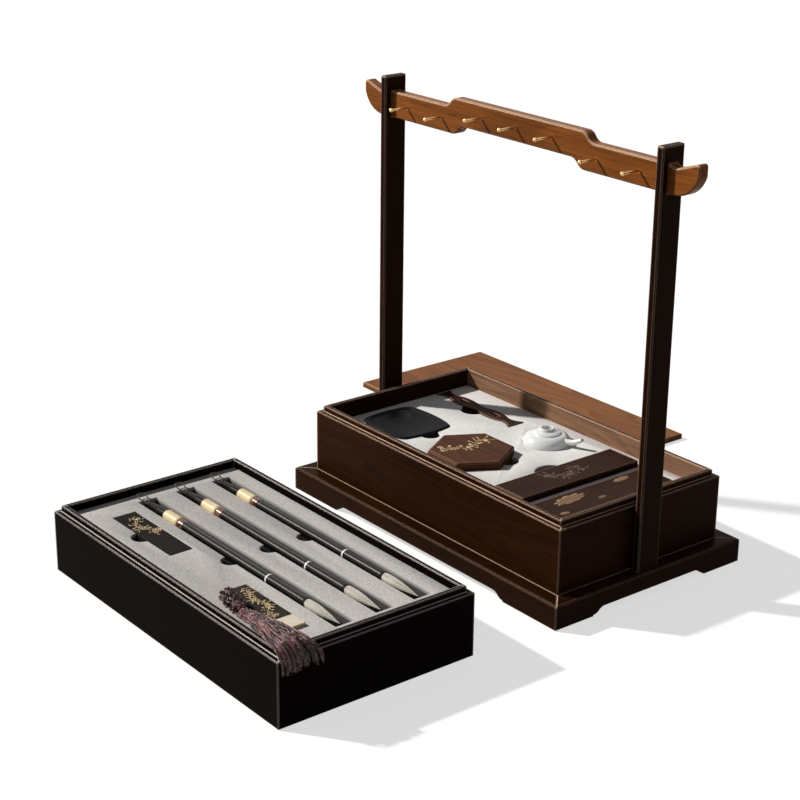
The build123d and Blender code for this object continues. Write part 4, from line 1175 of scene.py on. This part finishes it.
# %% Four sprays
INK_TOP, SLEEVE_TOP, LID_TOP, WEIGHT_TOP, CLOUD_TOP = 58.0, 61.0, 82.0, 80.0, 76.0
tray_x, tray_y = TRAY_MIDDLE.x, TRAY_MIDDLE.y
ink_spray = dict(start=(tray_x - 128.0, tray_y - 53.0), end=(tray_x - 86.0, tray_y - 50.0), top=INK_TOP,
                 seed=3, leaf=0.9, sway=7.2, curls=16)
sleeve_spray = dict(start=(tray_x + 57.0, tray_y - 52.5), end=(tray_x + 117.0, tray_y - 56.0), top=SLEEVE_TOP,
                    seed=5, leaf=0.9, sway=6.0, waves=2.0, leaves=34, blossoms=6, curls=16)
lid_scroll = dict(start=(-30.0, -64.0), end=(-22.0, -3.0), top=LID_TOP, seed=9, leaf=1.25, leaves=26,
                  blossoms=5)
weight_spray = dict(start=(75.0, -24.0), end=(83.0, 24.0), top=WEIGHT_TOP, seed=12, leaf=1.4)
for name, drawing, material, body in (("ink_stick_spray", ink_spray, gilt, "ink_stick"),
                                      ("sleeve_spray", sleeve_spray, gilt, "seal"),
                                      ("lid_scroll", lid_scroll, gilt, "paste_lid"),
                                      ("weight_spray", weight_spray, faint, "paperweight")):
    ornament = vine(name, **drawing)
    dress(ornament, material)
    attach(ornament, body)

# %% [markdown]
# ## Cloud inlay
# The second weight is inlaid with pale clouds, a common motif. Each is one flat plate with a
# scalloped rim, let in almost flush.

# %% Clouds
# Middle (x, y), length, width, turn in degrees and number of lobes
CLOUDS = [(119.0, -31.0, 40.0, 17.0, 88, 9), (132.5, -3.0, 10.0, 5.0, 84, 5), (113.5, 40.0, 22.0, 8.5, 92, 7),
          (139.0, -56.0, 12.0, 5.5, 80, 5), (133.0, 58.0, 16.0, 7.0, 95, 6)]
CLOUD_THICK, CLOUD_SUNK = 0.12, 0.02
LOBE_STEPS = 8
# `rubbed` is the plates' arris colour: rubbed wear and painted highlight
INLAY = dict(dark=(0.2, 0.115, 0.062), pale=(0.42, 0.28, 0.17), rubbed=(0.5, 0.36, 0.25))


def cloud_outline(length, width, lobes, seed):
    """A scalloped oval that leans a little to one side."""
    slide = random.Random(seed).uniform(0.2, 0.4)
    points = []
    for step in range(lobes * LOBE_STEPS):
        turn = 2 * pi * step / (lobes * LOBE_STEPS)
        swell = 0.8 + 0.22 * abs(sin(lobes * turn / 2)) + 0.05 * sin(2 * turn + seed)
        x, y = length / 2 * swell * cos(turn), width / 2 * swell * sin(turn)
        points.append((x + slide * y, y))
    return points


clouds = []
for number, (x, y, length, width, turn, lobes) in enumerate(CLOUDS):
    cloud = flat_shape(f"cloud_{number}", cloud_outline(length, width, lobes, number), CLOUD_THICK)
    place = Matrix.Translation(mm(x, y, CLOUD_TOP - CLOUD_SUNK))
    cloud.data.transform(place @ Matrix.Rotation(radians(turn), 4, "Z"))
    clouds.append(cloud)
inlay = join(clouds, "cloud_inlay")
dress(inlay, wood("pale_inlay", "Y", seed=2.4, figure=0.3, **INLAY))
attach(inlay, "cloud_paperweight")
print("cloud inlay faces", len(inlay.data.polygons))
